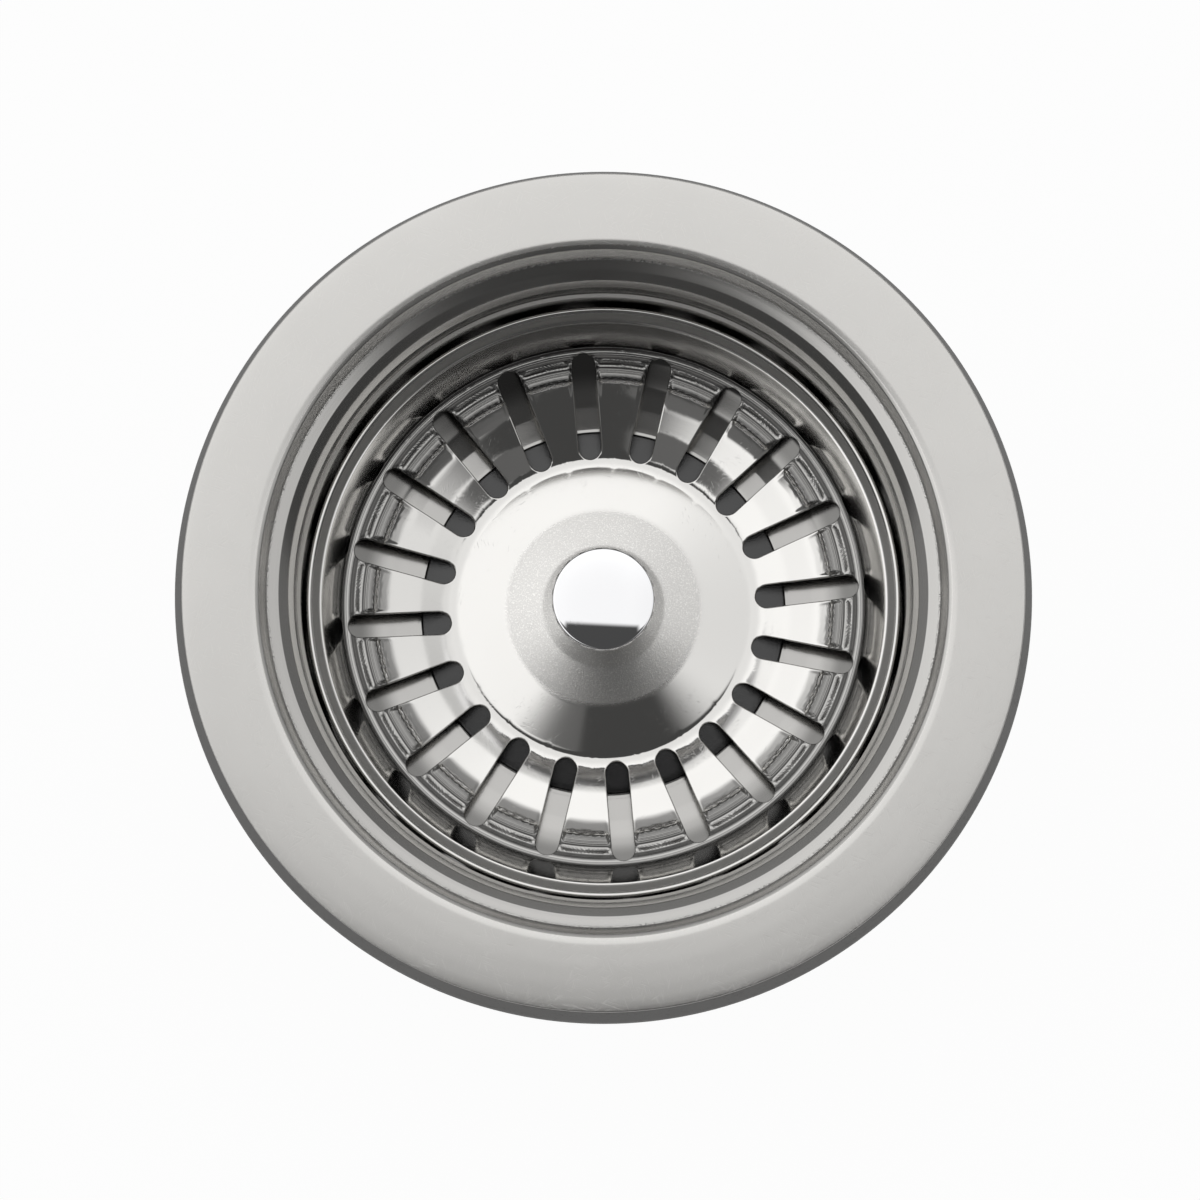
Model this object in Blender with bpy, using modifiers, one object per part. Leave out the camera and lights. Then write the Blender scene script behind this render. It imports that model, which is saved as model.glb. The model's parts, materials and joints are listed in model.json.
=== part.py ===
"""A basket strainer for a kitchen sink: flange and cup, clamp, outlet, and a lift-out basket.

Metres, +Z up. The axis is Z, and the origin is the centre of the coupling nut's bottom face.
Depths are measured down from the flange's flat top face.
"""

import math

import bmesh
import bpy
from mathutils import Matrix

# Shared values
GAP = 0.0003  # clearance between any two pieces that seat on each other
OVERRUN = 0.002  # how far a cutter runs past what it cuts
FLANGE_STEPS = 48
PLAIN_STEPS = 40
SMALL_STEPS = 20
ARC_STEPS = 3

# Strainer body, one stamped sheet
SHEET = 0.0010
CUP_RADIUS = 0.0410
CREASE_STEP = 0.0037  # from the cup's wall out to the crease
CREASE_DEPTH = 0.0020
THROAT_DEPTH = 0.0070  # where the wall becomes upright
ROLL_WIDTH = 0.0024  # the slope between the flat face and the crease
FACE_WIDTH = 0.0084
LIP_FLARE = 0.00165
LIP_DEPTH = 0.0065
LIP_ROUND = 0.0004
CORNER_RADIUS = 0.0024  # between the cup's wall and its floor
FLOOR_FALL = 0.0013
SEAT_MARGIN = 0.0015  # how far the flat seat reaches past the stopper
# Inward and downward shares of the way from the crease to the upright wall
THROAT_SHARES = ((0.43, 0.12), (0.76, 0.32), (0.95, 0.64))
# Inward and downward shares of the rounded slope between the flat face and the crease
ROLL_SHARES = ((0.25, 0.08), (0.6, 0.40))

# Seal stuck under the flange
SEAL_STAND = 0.0008
SEAL_WIDTH = 0.0062

# Clamp under the sink
SINK_GAP = 0.0060  # the space left for the sink's bottom, at rest
GASKET_THICK = 0.0030
GASKET_WIDTH = 0.0117
GASKET_COLLAR_HEIGHT = 0.0008
GASKET_COLLAR_WIDTH = 0.0017
FRICTION_RING_THICK = 0.0010
FRICTION_RING_WIDTH = 0.0100
LOCK_NUT_HEIGHT = 0.0100
LOCK_NUT_WALL = 0.0046
LOCK_NUT_BRIM_WIDTH = 0.0046
LOCK_NUT_BRIM_THICK = 0.0022
LUG_COUNT = 6
LUG_WIDTH = 0.0070

# Basket, one stamped sheet
BASKET_SHEET = 0.0007
BASKET_GAP = 0.0016  # between the rim and the cup's wall
RIM_DEPTH = 0.0140
RIM_WIDTH = 0.0013
RIM_ROLL = 0.0011
WALL_DROP = 0.0060
WALL_TAPER = 0.0025
LEDGE_WIDTH = 0.0035
LEDGE_DROP = 0.0020
BOWL_WIDTH = 0.0111
BOWL_DROP = 0.0040
DOME_RISE = 0.0060
NECK_RADIUS = 0.0052
# Inward and downward shares of the bowl, from the ledge to the valley
BOWL_SHARES = ((0.36, 0.50), (0.72, 0.86))
# Inward and upward shares of the dome, from the valley to the neck
DOME_SHARES = ((0.10, 0.05), (0.47, 0.456), (0.85, 0.80))
# Inward and downward shares of the turn from the wall into the ledge
LEDGE_SHARES = ((0.25, 0.55), (0.55, 0.85))
SLOT_COUNT = 20
SLOT_WIDTH = 0.0031
SLOT_START = math.radians(94.7)
SLOT_INSET = 0.0002  # how far the slots cut past the valley's ring
SLOT_REACH = 0.0012  # how far the slots cut up into the turn of the wall

# Knob, collar and post
KNOB_RADIUS = 0.00695
KNOB_HEIGHT = 0.0030
KNOB_CROWN = 0.0010
COLLAR_HEIGHT = 0.0054
COLLAR_TOP_RADIUS = 0.0034
POST_RADIUS = 0.0025
STUD_INSET = 0.0006  # the stud above the barrel is thinner than the post by this much
STUD_COVER = 0.0010  # metal left over the stud inside the knob
BARREL_STEP = 0.0015
GROOVE_DEPTH = 0.0006
TIP_LENGTH = 0.0018

# Stopper and what holds it on the post
STOPPER_RADIUS = 0.0250
BRIM_THICK = 0.0030
PLUG_DROP = 0.0040
PLUG_GAP = 0.0008
PLUG_TAPER = 0.0016
PLATE_RADIUS = 0.0120
PLATE_THICK = 0.0008
RETAINER_RADIUS = 0.0110
RETAINER_THICK = 0.0008
LOCK_WASHER_WIDTH = 0.0017
LOCK_WASHER_THICK = 0.0010
NUT_WALL = 0.0028
NUT_HEIGHT = 0.0035

# Hub in the outlet
HUB_DROP = 0.0008  # free space between the nut and the sleeve below it
SLEEVE_WALL = 0.0009
SLEEVE_BRIM_WIDTH = 0.0014
SLEEVE_BRIM_THICK = 0.0008
SLEEVE_FOOT = 0.0006
SLIT_WIDTH = 0.0008
SLIT_HEIGHT = 0.0050
RING_WALL = 0.0011
RING_HEIGHT = 0.0022
RING_START = 0.0030  # from the sleeve's top to the snap ring
SPLIT_WIDTH = 0.0010
HUB_WALL = 0.0020
HUB_HEIGHT = 0.0080
ARM_WIDTH = 0.0026
ARM_HEIGHT = 0.0050
HUB_RING_WALL = 0.0015

# Outlet
OUTLET_RADIUS = 0.0197
SPUD_WALL = 0.0022
SPUD_BRIM_WIDTH = 0.0050
SPUD_BRIM_THICK = 0.0015
SPUD_LEDGE = 0.0016  # what the spud's bore narrows by under the hub's ring
SPUD_THREAD_RISE = 0.0010
SPUD_TAIL = 0.0096
TAIL_WASHER_THICK = 0.0025
TAIL_WASHER_BEAD = 0.0004
TAILPIECE_RADIUS = 0.01905
TAILPIECE_CLEARANCE = 0.0005
COUPLING_NUT_HEIGHT = 0.0150
COUPLING_NUT_SHOULDER = 0.0024
COUPLING_NUT_WALL = 0.0034
COUPLING_NUT_SIDES = 8
COUPLING_NUT_EDGE = 0.0007

# Radii that follow
CUP_OUTER = CUP_RADIUS + SHEET
CREASE_RADIUS = CUP_RADIUS + CREASE_STEP
FACE_INNER_RADIUS = CREASE_RADIUS + ROLL_WIDTH
FACE_OUTER_RADIUS = FACE_INNER_RADIUS + FACE_WIDTH
FLANGE_RADIUS = FACE_OUTER_RADIUS + LIP_FLARE
CLAMP_BORE = CUP_OUTER + GAP
RIM_RADIUS = CUP_RADIUS - BASKET_GAP
WALL_TOP_RADIUS = RIM_RADIUS - RIM_WIDTH
WALL_FOOT_RADIUS = WALL_TOP_RADIUS - WALL_TAPER
LEDGE_RADIUS = WALL_FOOT_RADIUS - LEDGE_WIDTH
VALLEY_RADIUS = LEDGE_RADIUS - BOWL_WIDTH
BARREL_RADIUS = POST_RADIUS + BARREL_STEP
STUD_RADIUS = POST_RADIUS - STUD_INSET
POST_HOLE = POST_RADIUS + GAP
RING_INNER = POST_RADIUS - GROOVE_DEPTH + GAP
RING_OUTER = RING_INNER + RING_WALL
SLEEVE_BORE = RING_OUTER + GAP
SLEEVE_OUTER = SLEEVE_BORE + SLEEVE_WALL
HUB_BORE = SLEEVE_OUTER + GAP
HUB_RADIUS = HUB_BORE + HUB_WALL
HUB_RING_RADIUS = OUTLET_RADIUS - GAP
SPUD_OUTER = OUTLET_RADIUS + SPUD_WALL
SPUD_BORE = OUTLET_RADIUS - SPUD_LEDGE
THREAD_RADIUS = SPUD_OUTER + SPUD_THREAD_RISE
COUPLING_BORE = THREAD_RADIUS + GAP

# Depths that follow, from the flange down
SEAL_BOTTOM = LIP_DEPTH + SEAL_STAND
GASKET_TOP = SEAL_BOTTOM + SINK_GAP
FRICTION_RING_TOP = GASKET_TOP + GASKET_THICK + GAP
LOCK_NUT_TOP = FRICTION_RING_TOP + FRICTION_RING_THICK + GAP
FOOT_DEPTH = RIM_DEPTH + WALL_DROP
LEDGE_DEPTH = FOOT_DEPTH + LEDGE_DROP
VALLEY_DEPTH = LEDGE_DEPTH + BOWL_DROP
NECK_DEPTH = VALLEY_DEPTH - DOME_RISE
COLLAR_BOTTOM = NECK_DEPTH - GAP
KNOB_BOTTOM = COLLAR_BOTTOM - COLLAR_HEIGHT - GAP
KNOB_TOP = KNOB_BOTTOM - KNOB_HEIGHT
STOPPER_TOP = VALLEY_DEPTH + BASKET_SHEET + GAP
PLATE_TOP = STOPPER_TOP - GAP - PLATE_THICK
SEAT_DEPTH = STOPPER_TOP + BRIM_THICK + GAP
PLUG_BOTTOM = STOPPER_TOP + BRIM_THICK + PLUG_DROP
RETAINER_TOP = PLUG_BOTTOM + GAP
LOCK_WASHER_TOP = RETAINER_TOP + RETAINER_THICK + GAP
NUT_TOP = LOCK_WASHER_TOP + LOCK_WASHER_THICK + GAP
SLEEVE_TOP = NUT_TOP + NUT_HEIGHT + HUB_DROP
HUB_TOP = SLEEVE_TOP + SLEEVE_BRIM_THICK + GAP
HUB_BOTTOM = HUB_TOP + HUB_HEIGHT
SLEEVE_BOTTOM = HUB_BOTTOM + SLEEVE_FOOT
SNAP_RING_TOP = SLEEVE_TOP + RING_START
SNAP_RING_BOTTOM = SNAP_RING_TOP + RING_HEIGHT
POST_BOTTOM = SNAP_RING_BOTTOM + GAP + TIP_LENGTH
SPUD_TOP = SEAT_DEPTH + SHEET + GAP
SPUD_LEDGE_DEPTH = HUB_BOTTOM + GAP
SPUD_BOTTOM = SPUD_LEDGE_DEPTH + SPUD_TAIL
TAIL_WASHER_TOP = SPUD_BOTTOM + GAP
SHOULDER_DEPTH = TAIL_WASHER_TOP + TAIL_WASHER_THICK + GAP
TOTAL_HEIGHT = SHOULDER_DEPTH + COUPLING_NUT_SHOULDER
COUPLING_NUT_TOP = TOTAL_HEIGHT - COUPLING_NUT_HEIGHT


def height(depth):
    """The Z of a depth below the flange's top face."""
    return TOTAL_HEIGHT - depth


def arc(centre_radius, centre_depth, radius, start, end, steps=ARC_STEPS):
    """Profile points on an arc. Angles are in degrees: 0 points outward and 90 points up."""
    points = []
    for step in range(steps + 1):
        angle = math.radians(start + (end - start) * step / steps)
        points.append((centre_radius + radius * math.cos(angle), centre_depth - radius * math.sin(angle)))
    return points


def along(start, end, shares):
    """Profile points at the given shares of the way from start to end."""
    return [(start[0] + (end[0] - start[0]) * a, start[1] + (end[1] - start[1]) * b) for a, b in shares]


def washer_outline(inner, outer, top, bottom):
    return [(inner, top), (outer, top), (outer, bottom), (inner, bottom)]


def rod_outline(radius, top, bottom):
    """The outline of a plain rod or bore, from the axis and back to it."""
    return [(0, top), (radius, top), (radius, bottom), (0, bottom)]


def clear_scene():
    for obj in list(bpy.data.objects):
        bpy.data.objects.remove(obj, do_unlink=True)


def collection_named(name):
    collection = bpy.data.collections.new(name)
    bpy.context.scene.collection.children.link(collection)
    return collection


def material(name, colour, metallic, roughness):
    made = bpy.data.materials.new(name)
    made.use_nodes = True
    shader = made.node_tree.nodes["Principled BSDF"]
    shader.inputs["Base Color"].default_value = (*colour, 1.0)
    shader.inputs["Metallic"].default_value = metallic
    shader.inputs["Roughness"].default_value = roughness
    return made


def satin_steel(name):
    return material(name, (0.62, 0.61, 0.59), 1.0, 0.32)


def bright_steel(name):
    return material(name, (0.70, 0.69, 0.67), 1.0, 0.12)


def chrome(name):
    return material(name, (0.86, 0.86, 0.87), 1.0, 0.04)


def cast_zinc(name):
    return material(name, (0.48, 0.49, 0.50), 1.0, 0.45)


def black_rubber(name):
    return material(name, (0.030, 0.030, 0.032), 0.0, 0.60)


def white_plastic(name):
    return material(name, (0.78, 0.78, 0.75), 0.0, 0.45)


def grey_fibre(name):
    return material(name, (0.30, 0.26, 0.21), 0.0, 0.85)


def add_object(name, mesh, collection):
    obj = bpy.data.objects.new(name, mesh)
    collection.objects.link(obj)
    return obj


def baked(obj):
    """The object with its modifiers made part of its mesh, shaded smooth except at its edges."""
    bpy.context.view_layer.update()
    graph = bpy.context.evaluated_depsgraph_get()
    mesh = bpy.data.meshes.new_from_object(obj.evaluated_get(graph))
    obj.modifiers.clear()
    obj.data = mesh
    mesh.shade_smooth()
    mesh.set_sharp_from_angle(angle=math.radians(32))
    return obj


def profile_mesh(name, points, closed):
    """Edges through (radius, depth) points, standing in the XZ plane at +X."""
    shape = bmesh.new()
    corners = [shape.verts.new((radius, 0, height(depth))) for radius, depth in points]
    for first, second in zip(corners, corners[1:]):
        shape.edges.new((first, second))
    if closed:
        shape.edges.new((corners[-1], corners[0]))
    mesh = bpy.data.meshes.new(name)
    shape.to_mesh(mesh)
    shape.free()
    return mesh


def add_screw(obj, steps):
    screw = obj.modifiers.new("Turn", "SCREW")
    screw.axis = "Z"
    screw.steps = steps
    screw.render_steps = steps
    screw.use_merge_vertices = True
    screw.merge_threshold = 0.000001
    screw.use_smooth_shade = True


def turned(name, points, collection, steps=PLAIN_STEPS):
    """A solid turned round Z. The outline is a ring, or it starts and ends on the axis."""
    following = points[1:] + points[:1]
    if sum(a[0] * b[1] - b[0] * a[1] for a, b in zip(points, following)) < 0:
        points = points[::-1]
    on_axis = points[0][0] == 0 and points[-1][0] == 0
    obj = add_object(name, profile_mesh(name, points, closed=not on_axis), collection)
    add_screw(obj, steps)
    return baked(obj)


def turned_sheet(name, points, thickness, collection, steps):
    """A sheet turned round Z. The points run outward along its upper face, and the sheet lies below them."""
    obj = add_object(name, profile_mesh(name, points, closed=False), collection)
    add_screw(obj, steps)
    shell = obj.modifiers.new("Sheet", "SOLIDIFY")
    shell.thickness = thickness
    shell.offset = -1
    shell.use_even_offset = True
    return baked(obj)


def box(name, size, centre, collection, angle=0.0):
    shape = bmesh.new()
    bmesh.ops.create_cube(shape, size=1.0)
    place = Matrix.Rotation(angle, 4, "Z") @ Matrix.Translation(centre) @ Matrix.Diagonal((*size, 1.0))
    bmesh.ops.transform(shape, matrix=place, verts=shape.verts)
    mesh = bpy.data.meshes.new(name)
    shape.to_mesh(mesh)
    shape.free()
    return add_object(name, mesh, collection)


def prism(name, sides, flats_radius, top, bottom, collection):
    """An upright prism between two depths. Its flats lie at flats_radius from the axis."""
    shape = bmesh.new()
    corner_radius = flats_radius / math.cos(math.pi / sides)
    bmesh.ops.create_cone(
        shape, cap_ends=True, segments=sides, radius1=corner_radius, radius2=corner_radius, depth=bottom - top
    )
    place = Matrix.Translation((0, 0, height((top + bottom) / 2))) @ Matrix.Rotation(math.pi / sides, 4, "Z")
    bmesh.ops.transform(shape, matrix=place, verts=shape.verts)
    mesh = bpy.data.meshes.new(name)
    shape.to_mesh(mesh)
    shape.free()
    return add_object(name, mesh, collection)


def slot_outline(inner_centre, outer_centre, radius):
    """A slot with round ends, along +X in the XY plane."""
    points = []
    for centre, start in ((outer_centre, -math.pi / 2), (inner_centre, math.pi / 2)):
        for step in range(ARC_STEPS + 1):
            angle = start + math.pi * step / ARC_STEPS
            points.append((centre + radius * math.cos(angle), radius * math.sin(angle)))
    return points


def plate(name, outline, top, bottom, collection):
    """A flat outline made a slab between two depths, by way of a filled 2D curve."""
    curve = bpy.data.curves.new(name, "CURVE")
    curve.dimensions = "2D"
    curve.fill_mode = "BOTH"
    curve.extrude = (bottom - top) / 2
    spline = curve.splines.new("POLY")
    spline.points.add(len(outline) - 1)
    for point, (x, y) in zip(spline.points, outline):
        point.co = (x, y, 0, 1)
    spline.use_cyclic_u = True
    drawn = add_object(name + "_outline", curve, collection)
    bpy.context.view_layer.update()
    mesh = bpy.data.meshes.new_from_object(drawn.evaluated_get(bpy.context.evaluated_depsgraph_get()))
    bpy.data.objects.remove(drawn)
    shape = bmesh.new()
    shape.from_mesh(mesh)
    bmesh.ops.remove_doubles(shape, verts=shape.verts, dist=GAP / 100)
    bmesh.ops.recalc_face_normals(shape, faces=shape.faces)
    bmesh.ops.translate(shape, verts=shape.verts, vec=(0, 0, height((top + bottom) / 2)))
    shape.to_mesh(mesh)
    shape.free()
    return add_object(name, mesh, collection)


def copied_round(obj, count, start):
    """The object's mesh repeated round Z, count times, as one mesh of separate bodies."""
    shape = bmesh.new()
    for index in range(count):
        before = len(shape.verts)
        shape.from_mesh(obj.data)
        shape.verts.ensure_lookup_table()
        turn = Matrix.Rotation(start + 2 * math.pi * index / count, 4, "Z")
        bmesh.ops.transform(shape, matrix=turn, verts=shape.verts[before:])
    shape.to_mesh(obj.data)
    shape.free()
    return obj


def joined(obj, tool, operation):
    """A Boolean with a helper object, which is then hidden as a wire."""
    boolean = obj.modifiers.new(operation.title(), "BOOLEAN")
    boolean.operation = operation
    boolean.object = tool
    boolean.solver = "EXACT"
    baked(obj)
    tool.hide_render = True
    tool.display_type = "WIRE"
    return obj


def cut(obj, tool):
    return joined(obj, tool, "DIFFERENCE")


def fused(obj, tool):
    return joined(obj, tool, "UNION")


def make_strainer_body(parts):
    """The flange, its turned-down lip, the throat, the cup's wall and the floor with the stopper's seat."""
    crease = (CREASE_RADIUS, CREASE_DEPTH)
    wall_top = (CUP_RADIUS, THROAT_DEPTH)
    face_inner = (FACE_INNER_RADIUS, 0)
    foot_depth = SEAT_DEPTH - FLOOR_FALL
    points = [(OUTLET_RADIUS, SEAT_DEPTH), (STOPPER_RADIUS + SEAT_MARGIN, SEAT_DEPTH)]
    points += arc(CUP_RADIUS - CORNER_RADIUS, foot_depth - CORNER_RADIUS, CORNER_RADIUS, -84, 0)
    points += [wall_top]
    points += along(crease, wall_top, THROAT_SHARES)[::-1]
    points += [crease]
    points += along(face_inner, crease, ROLL_SHARES)[::-1]
    points += [face_inner]
    points += arc(FACE_OUTER_RADIUS - LIP_ROUND, LIP_ROUND, LIP_ROUND, 90, 12, steps=2)
    points += [(FLANGE_RADIUS, LIP_DEPTH)]
    return turned_sheet("strainer_body", points, SHEET, parts, FLANGE_STEPS)


def make_flange_seal(parts):
    """The soft ring inside the lip, which stands a little below it."""
    top = SHEET + GAP
    outer_top = FACE_OUTER_RADIUS - SHEET - GAP
    outer_foot = FLANGE_RADIUS - SHEET - GAP
    inner = outer_top - SEAL_WIDTH
    points = [(inner, top), (outer_top, top), (outer_foot, LIP_DEPTH)]
    points += [(outer_foot, SEAL_BOTTOM), (inner, SEAL_BOTTOM)]
    return turned("flange_seal", points, parts, FLANGE_STEPS)


def make_sink_gasket(parts):
    """The rubber gasket that presses on the sink from below, with a collar that centres it in the hole."""
    collar_top = GASKET_TOP - GASKET_COLLAR_HEIGHT
    collar_outer = CLAMP_BORE + GASKET_COLLAR_WIDTH
    outer = CLAMP_BORE + GASKET_WIDTH
    bottom = GASKET_TOP + GASKET_THICK
    points = [(CLAMP_BORE, collar_top), (collar_outer, collar_top), (collar_outer, GASKET_TOP)]
    points += [(outer, GASKET_TOP), (outer, bottom), (CLAMP_BORE, bottom)]
    return turned("sink_gasket", points, parts)


def make_friction_ring(parts):
    """The slippery ring that lets the lock nut turn without dragging the rubber."""
    outer = CLAMP_BORE + FRICTION_RING_WIDTH
    bottom = FRICTION_RING_TOP + FRICTION_RING_THICK
    return turned("friction_ring", washer_outline(CLAMP_BORE, outer, FRICTION_RING_TOP, bottom), parts)


def make_lock_nut(parts, cutters):
    """A cast ring with a brim on top and lugs below it, which a spanner or a hammer turns."""
    outer = CLAMP_BORE + LOCK_NUT_WALL
    brim = outer + LOCK_NUT_BRIM_WIDTH
    brim_bottom = LOCK_NUT_TOP + LOCK_NUT_BRIM_THICK
    bottom = LOCK_NUT_TOP + LOCK_NUT_HEIGHT
    points = [(CLAMP_BORE, LOCK_NUT_TOP), (brim, LOCK_NUT_TOP), (brim, brim_bottom), (outer, brim_bottom)]
    points += [(outer, bottom), (CLAMP_BORE, bottom)]
    nut = turned("lock_nut", points, parts)
    middle = (outer + brim) / 2 - LOCK_NUT_WALL / 4
    lug_top = LOCK_NUT_TOP + LOCK_NUT_BRIM_THICK / 2
    lug_bottom = bottom - LOCK_NUT_BRIM_THICK / 4
    size = (LOCK_NUT_BRIM_WIDTH, LUG_WIDTH, lug_bottom - lug_top)
    lug = box("lock_nut_lugs", size, (middle, 0, height((lug_top + lug_bottom) / 2)), cutters)
    return fused(nut, copied_round(lug, LUG_COUNT, math.pi / LUG_COUNT))


def make_outlet_spud(parts):
    """The threaded outlet tube under the floor, whose bore steps in to carry the hub's ring."""
    brim = SPUD_OUTER + SPUD_BRIM_WIDTH
    brim_bottom = SPUD_TOP + SPUD_BRIM_THICK
    thread_top = COUPLING_NUT_TOP - SPUD_THREAD_RISE
    points = [(OUTLET_RADIUS, SPUD_TOP), (brim, SPUD_TOP), (brim, brim_bottom), (SPUD_OUTER, brim_bottom)]
    points += [(SPUD_OUTER, thread_top), (THREAD_RADIUS, COUPLING_NUT_TOP), (THREAD_RADIUS, SPUD_BOTTOM)]
    points += [(SPUD_BORE, SPUD_BOTTOM), (SPUD_BORE, SPUD_LEDGE_DEPTH), (OUTLET_RADIUS, SPUD_LEDGE_DEPTH)]
    return turned("outlet_spud", points, parts)


def make_hub_spider(parts, cutters):
    """A ring, two crossed bars and a round hub, cast as one piece."""
    arm_top = HUB_BOTTOM - ARM_HEIGHT
    ring = washer_outline(HUB_RING_RADIUS - HUB_RING_WALL, HUB_RING_RADIUS, arm_top, HUB_BOTTOM)
    spider = turned("hub_spider", ring, parts)
    bar_length = 2 * HUB_RING_RADIUS - HUB_RING_WALL
    bar_height = ARM_HEIGHT - ARM_WIDTH / 4
    centre = (0, 0, height(arm_top + ARM_HEIGHT / 2))
    for index in range(2):
        size = (bar_length, ARM_WIDTH, bar_height)
        fused(spider, box(f"hub_bar_{index + 1}", size, centre, cutters, index * math.pi / 2))
    hub = rod_outline(HUB_RADIUS, HUB_TOP, HUB_BOTTOM)
    fused(spider, turned("hub_core", hub, cutters, SMALL_STEPS))
    bore = rod_outline(HUB_BORE, HUB_TOP - OVERRUN, HUB_BOTTOM + OVERRUN)
    return cut(spider, turned("hub_bore", bore, cutters, SMALL_STEPS))


def make_hub_sleeve(parts, cutters):
    """A sleeve with sprung fingers, which hold the ring on the post when the basket is pulled half up."""
    brim = SLEEVE_OUTER + SLEEVE_BRIM_WIDTH
    brim_bottom = SLEEVE_TOP + SLEEVE_BRIM_THICK
    points = [(SLEEVE_BORE, SLEEVE_TOP), (brim, SLEEVE_TOP), (brim, brim_bottom), (SLEEVE_OUTER, brim_bottom)]
    points += [(SLEEVE_OUTER, SLEEVE_BOTTOM), (SLEEVE_BORE, SLEEVE_BOTTOM)]
    sleeve = turned("hub_sleeve", points, parts, SMALL_STEPS)
    size = (4 * SLEEVE_OUTER, SLIT_WIDTH, SLIT_HEIGHT + OVERRUN)
    centre = (0, 0, height(SLEEVE_BOTTOM - SLIT_HEIGHT + size[2] / 2))
    for index in range(2):
        angle = math.pi / 4 + index * math.pi / 2
        cut(sleeve, box(f"sleeve_slit_{index + 1}", size, centre, cutters, angle))
    return sleeve


def make_tail_washer(parts):
    """The washer between the outlet's end and a drain pipe, with a raised bead that the pipe seats on."""
    bottom = TAIL_WASHER_TOP + TAIL_WASHER_THICK
    flat_bottom = bottom - TAIL_WASHER_BEAD
    bead_outer = TAILPIECE_RADIUS + TAILPIECE_CLEARANCE - GAP
    points = [(SPUD_BORE, TAIL_WASHER_TOP), (THREAD_RADIUS, TAIL_WASHER_TOP), (THREAD_RADIUS, flat_bottom)]
    points += [(bead_outer, flat_bottom), (bead_outer, bottom), (SPUD_BORE, bottom)]
    return turned("tail_washer", points, parts)


def make_coupling_nut(parts, cutters):
    """A nut with flats, bored for the outlet's thread, with a shoulder that a drain pipe passes through."""
    flats_radius = COUPLING_BORE + COUPLING_NUT_WALL
    nut = prism("coupling_nut", COUPLING_NUT_SIDES, flats_radius, COUPLING_NUT_TOP, TOTAL_HEIGHT, parts)
    edge = nut.modifiers.new("Edge", "BEVEL")
    edge.width = COUPLING_NUT_EDGE
    edge.segments = 2
    pipe_hole = TAILPIECE_RADIUS + TAILPIECE_CLEARANCE
    points = [(0, COUPLING_NUT_TOP - OVERRUN), (COUPLING_BORE, COUPLING_NUT_TOP - OVERRUN)]
    points += [(COUPLING_BORE, SHOULDER_DEPTH), (pipe_hole, SHOULDER_DEPTH)]
    points += [(pipe_hole, TOTAL_HEIGHT + OVERRUN), (0, TOTAL_HEIGHT + OVERRUN)]
    return cut(nut, turned("coupling_nut_bore", points, cutters))


def make_basket_shell(parts, cutters):
    """The slotted basket: rolled rim, tapered wall, ledge, bowl and valley, and a dome up to its neck."""
    hole_edge = (POST_HOLE, NECK_DEPTH)
    neck = (NECK_RADIUS, NECK_DEPTH)
    valley = (VALLEY_RADIUS, VALLEY_DEPTH)
    ledge = (LEDGE_RADIUS, LEDGE_DEPTH)
    wall_foot = (WALL_FOOT_RADIUS, FOOT_DEPTH)
    wall_top = (WALL_TOP_RADIUS, RIM_DEPTH + RIM_ROLL / 2)
    points = [hole_edge, neck]
    points += along(valley, neck, DOME_SHARES)[::-1]
    points += [valley]
    points += along(ledge, valley, BOWL_SHARES)[::-1]
    points += [ledge]
    points += along(wall_foot, ledge, LEDGE_SHARES)[::-1]
    points += [wall_foot, wall_top]
    points += arc(RIM_RADIUS - RIM_WIDTH / 2, RIM_DEPTH + RIM_WIDTH / 2, RIM_WIDTH / 2, 120, 0)
    points += [(RIM_RADIUS, RIM_DEPTH + RIM_WIDTH / 2 + RIM_ROLL)]
    basket = turned_sheet("basket_shell", points, BASKET_SHEET, parts, 2 * SLOT_COUNT)
    basket.data.transform(Matrix.Rotation(SLOT_START, 4, "Z"))
    radius = SLOT_WIDTH / 2
    inner = VALLEY_RADIUS - SLOT_INSET + radius
    outer = WALL_FOOT_RADIUS - SLOT_REACH - radius
    top = FOOT_DEPTH - OVERRUN
    bottom = VALLEY_DEPTH + BASKET_SHEET + OVERRUN
    slot = plate("basket_slots", slot_outline(inner, outer, radius), top, bottom, cutters)
    return cut(basket, copied_round(slot, SLOT_COUNT, SLOT_START))


def make_knob(parts):
    """A low polished mushroom, hollow below for the post's stud."""
    edge = (KNOB_HEIGHT - KNOB_CROWN) / 2
    crown_radius = KNOB_RADIUS - edge
    dome_radius = (crown_radius**2 + KNOB_CROWN**2) / (2 * KNOB_CROWN)
    crown_angle = math.degrees(math.asin(crown_radius / dome_radius))
    points = arc(0, KNOB_TOP + dome_radius, dome_radius, 90, 90 - crown_angle)
    points[0] = (0, KNOB_TOP)
    points += arc(KNOB_RADIUS - edge, KNOB_TOP + KNOB_CROWN + edge, edge, 45, -90)
    bore = STUD_RADIUS + GAP
    stud_top = KNOB_TOP + STUD_COVER
    points += [(bore, KNOB_BOTTOM), (bore, stud_top), (0, stud_top)]
    return turned("knob", points, parts)


def make_knob_collar(parts):
    """The flared collar between the knob and the basket's neck."""
    top = COLLAR_BOTTOM - COLLAR_HEIGHT
    bore = STUD_RADIUS + GAP
    waist = (COLLAR_TOP_RADIUS, top + COLLAR_HEIGHT / 3)
    points = [(bore, top), (COLLAR_TOP_RADIUS, top), waist]
    points += [(NECK_RADIUS - GAP, COLLAR_BOTTOM), (bore, COLLAR_BOTTOM)]
    return turned("knob_collar", points, parts, SMALL_STEPS)


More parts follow.
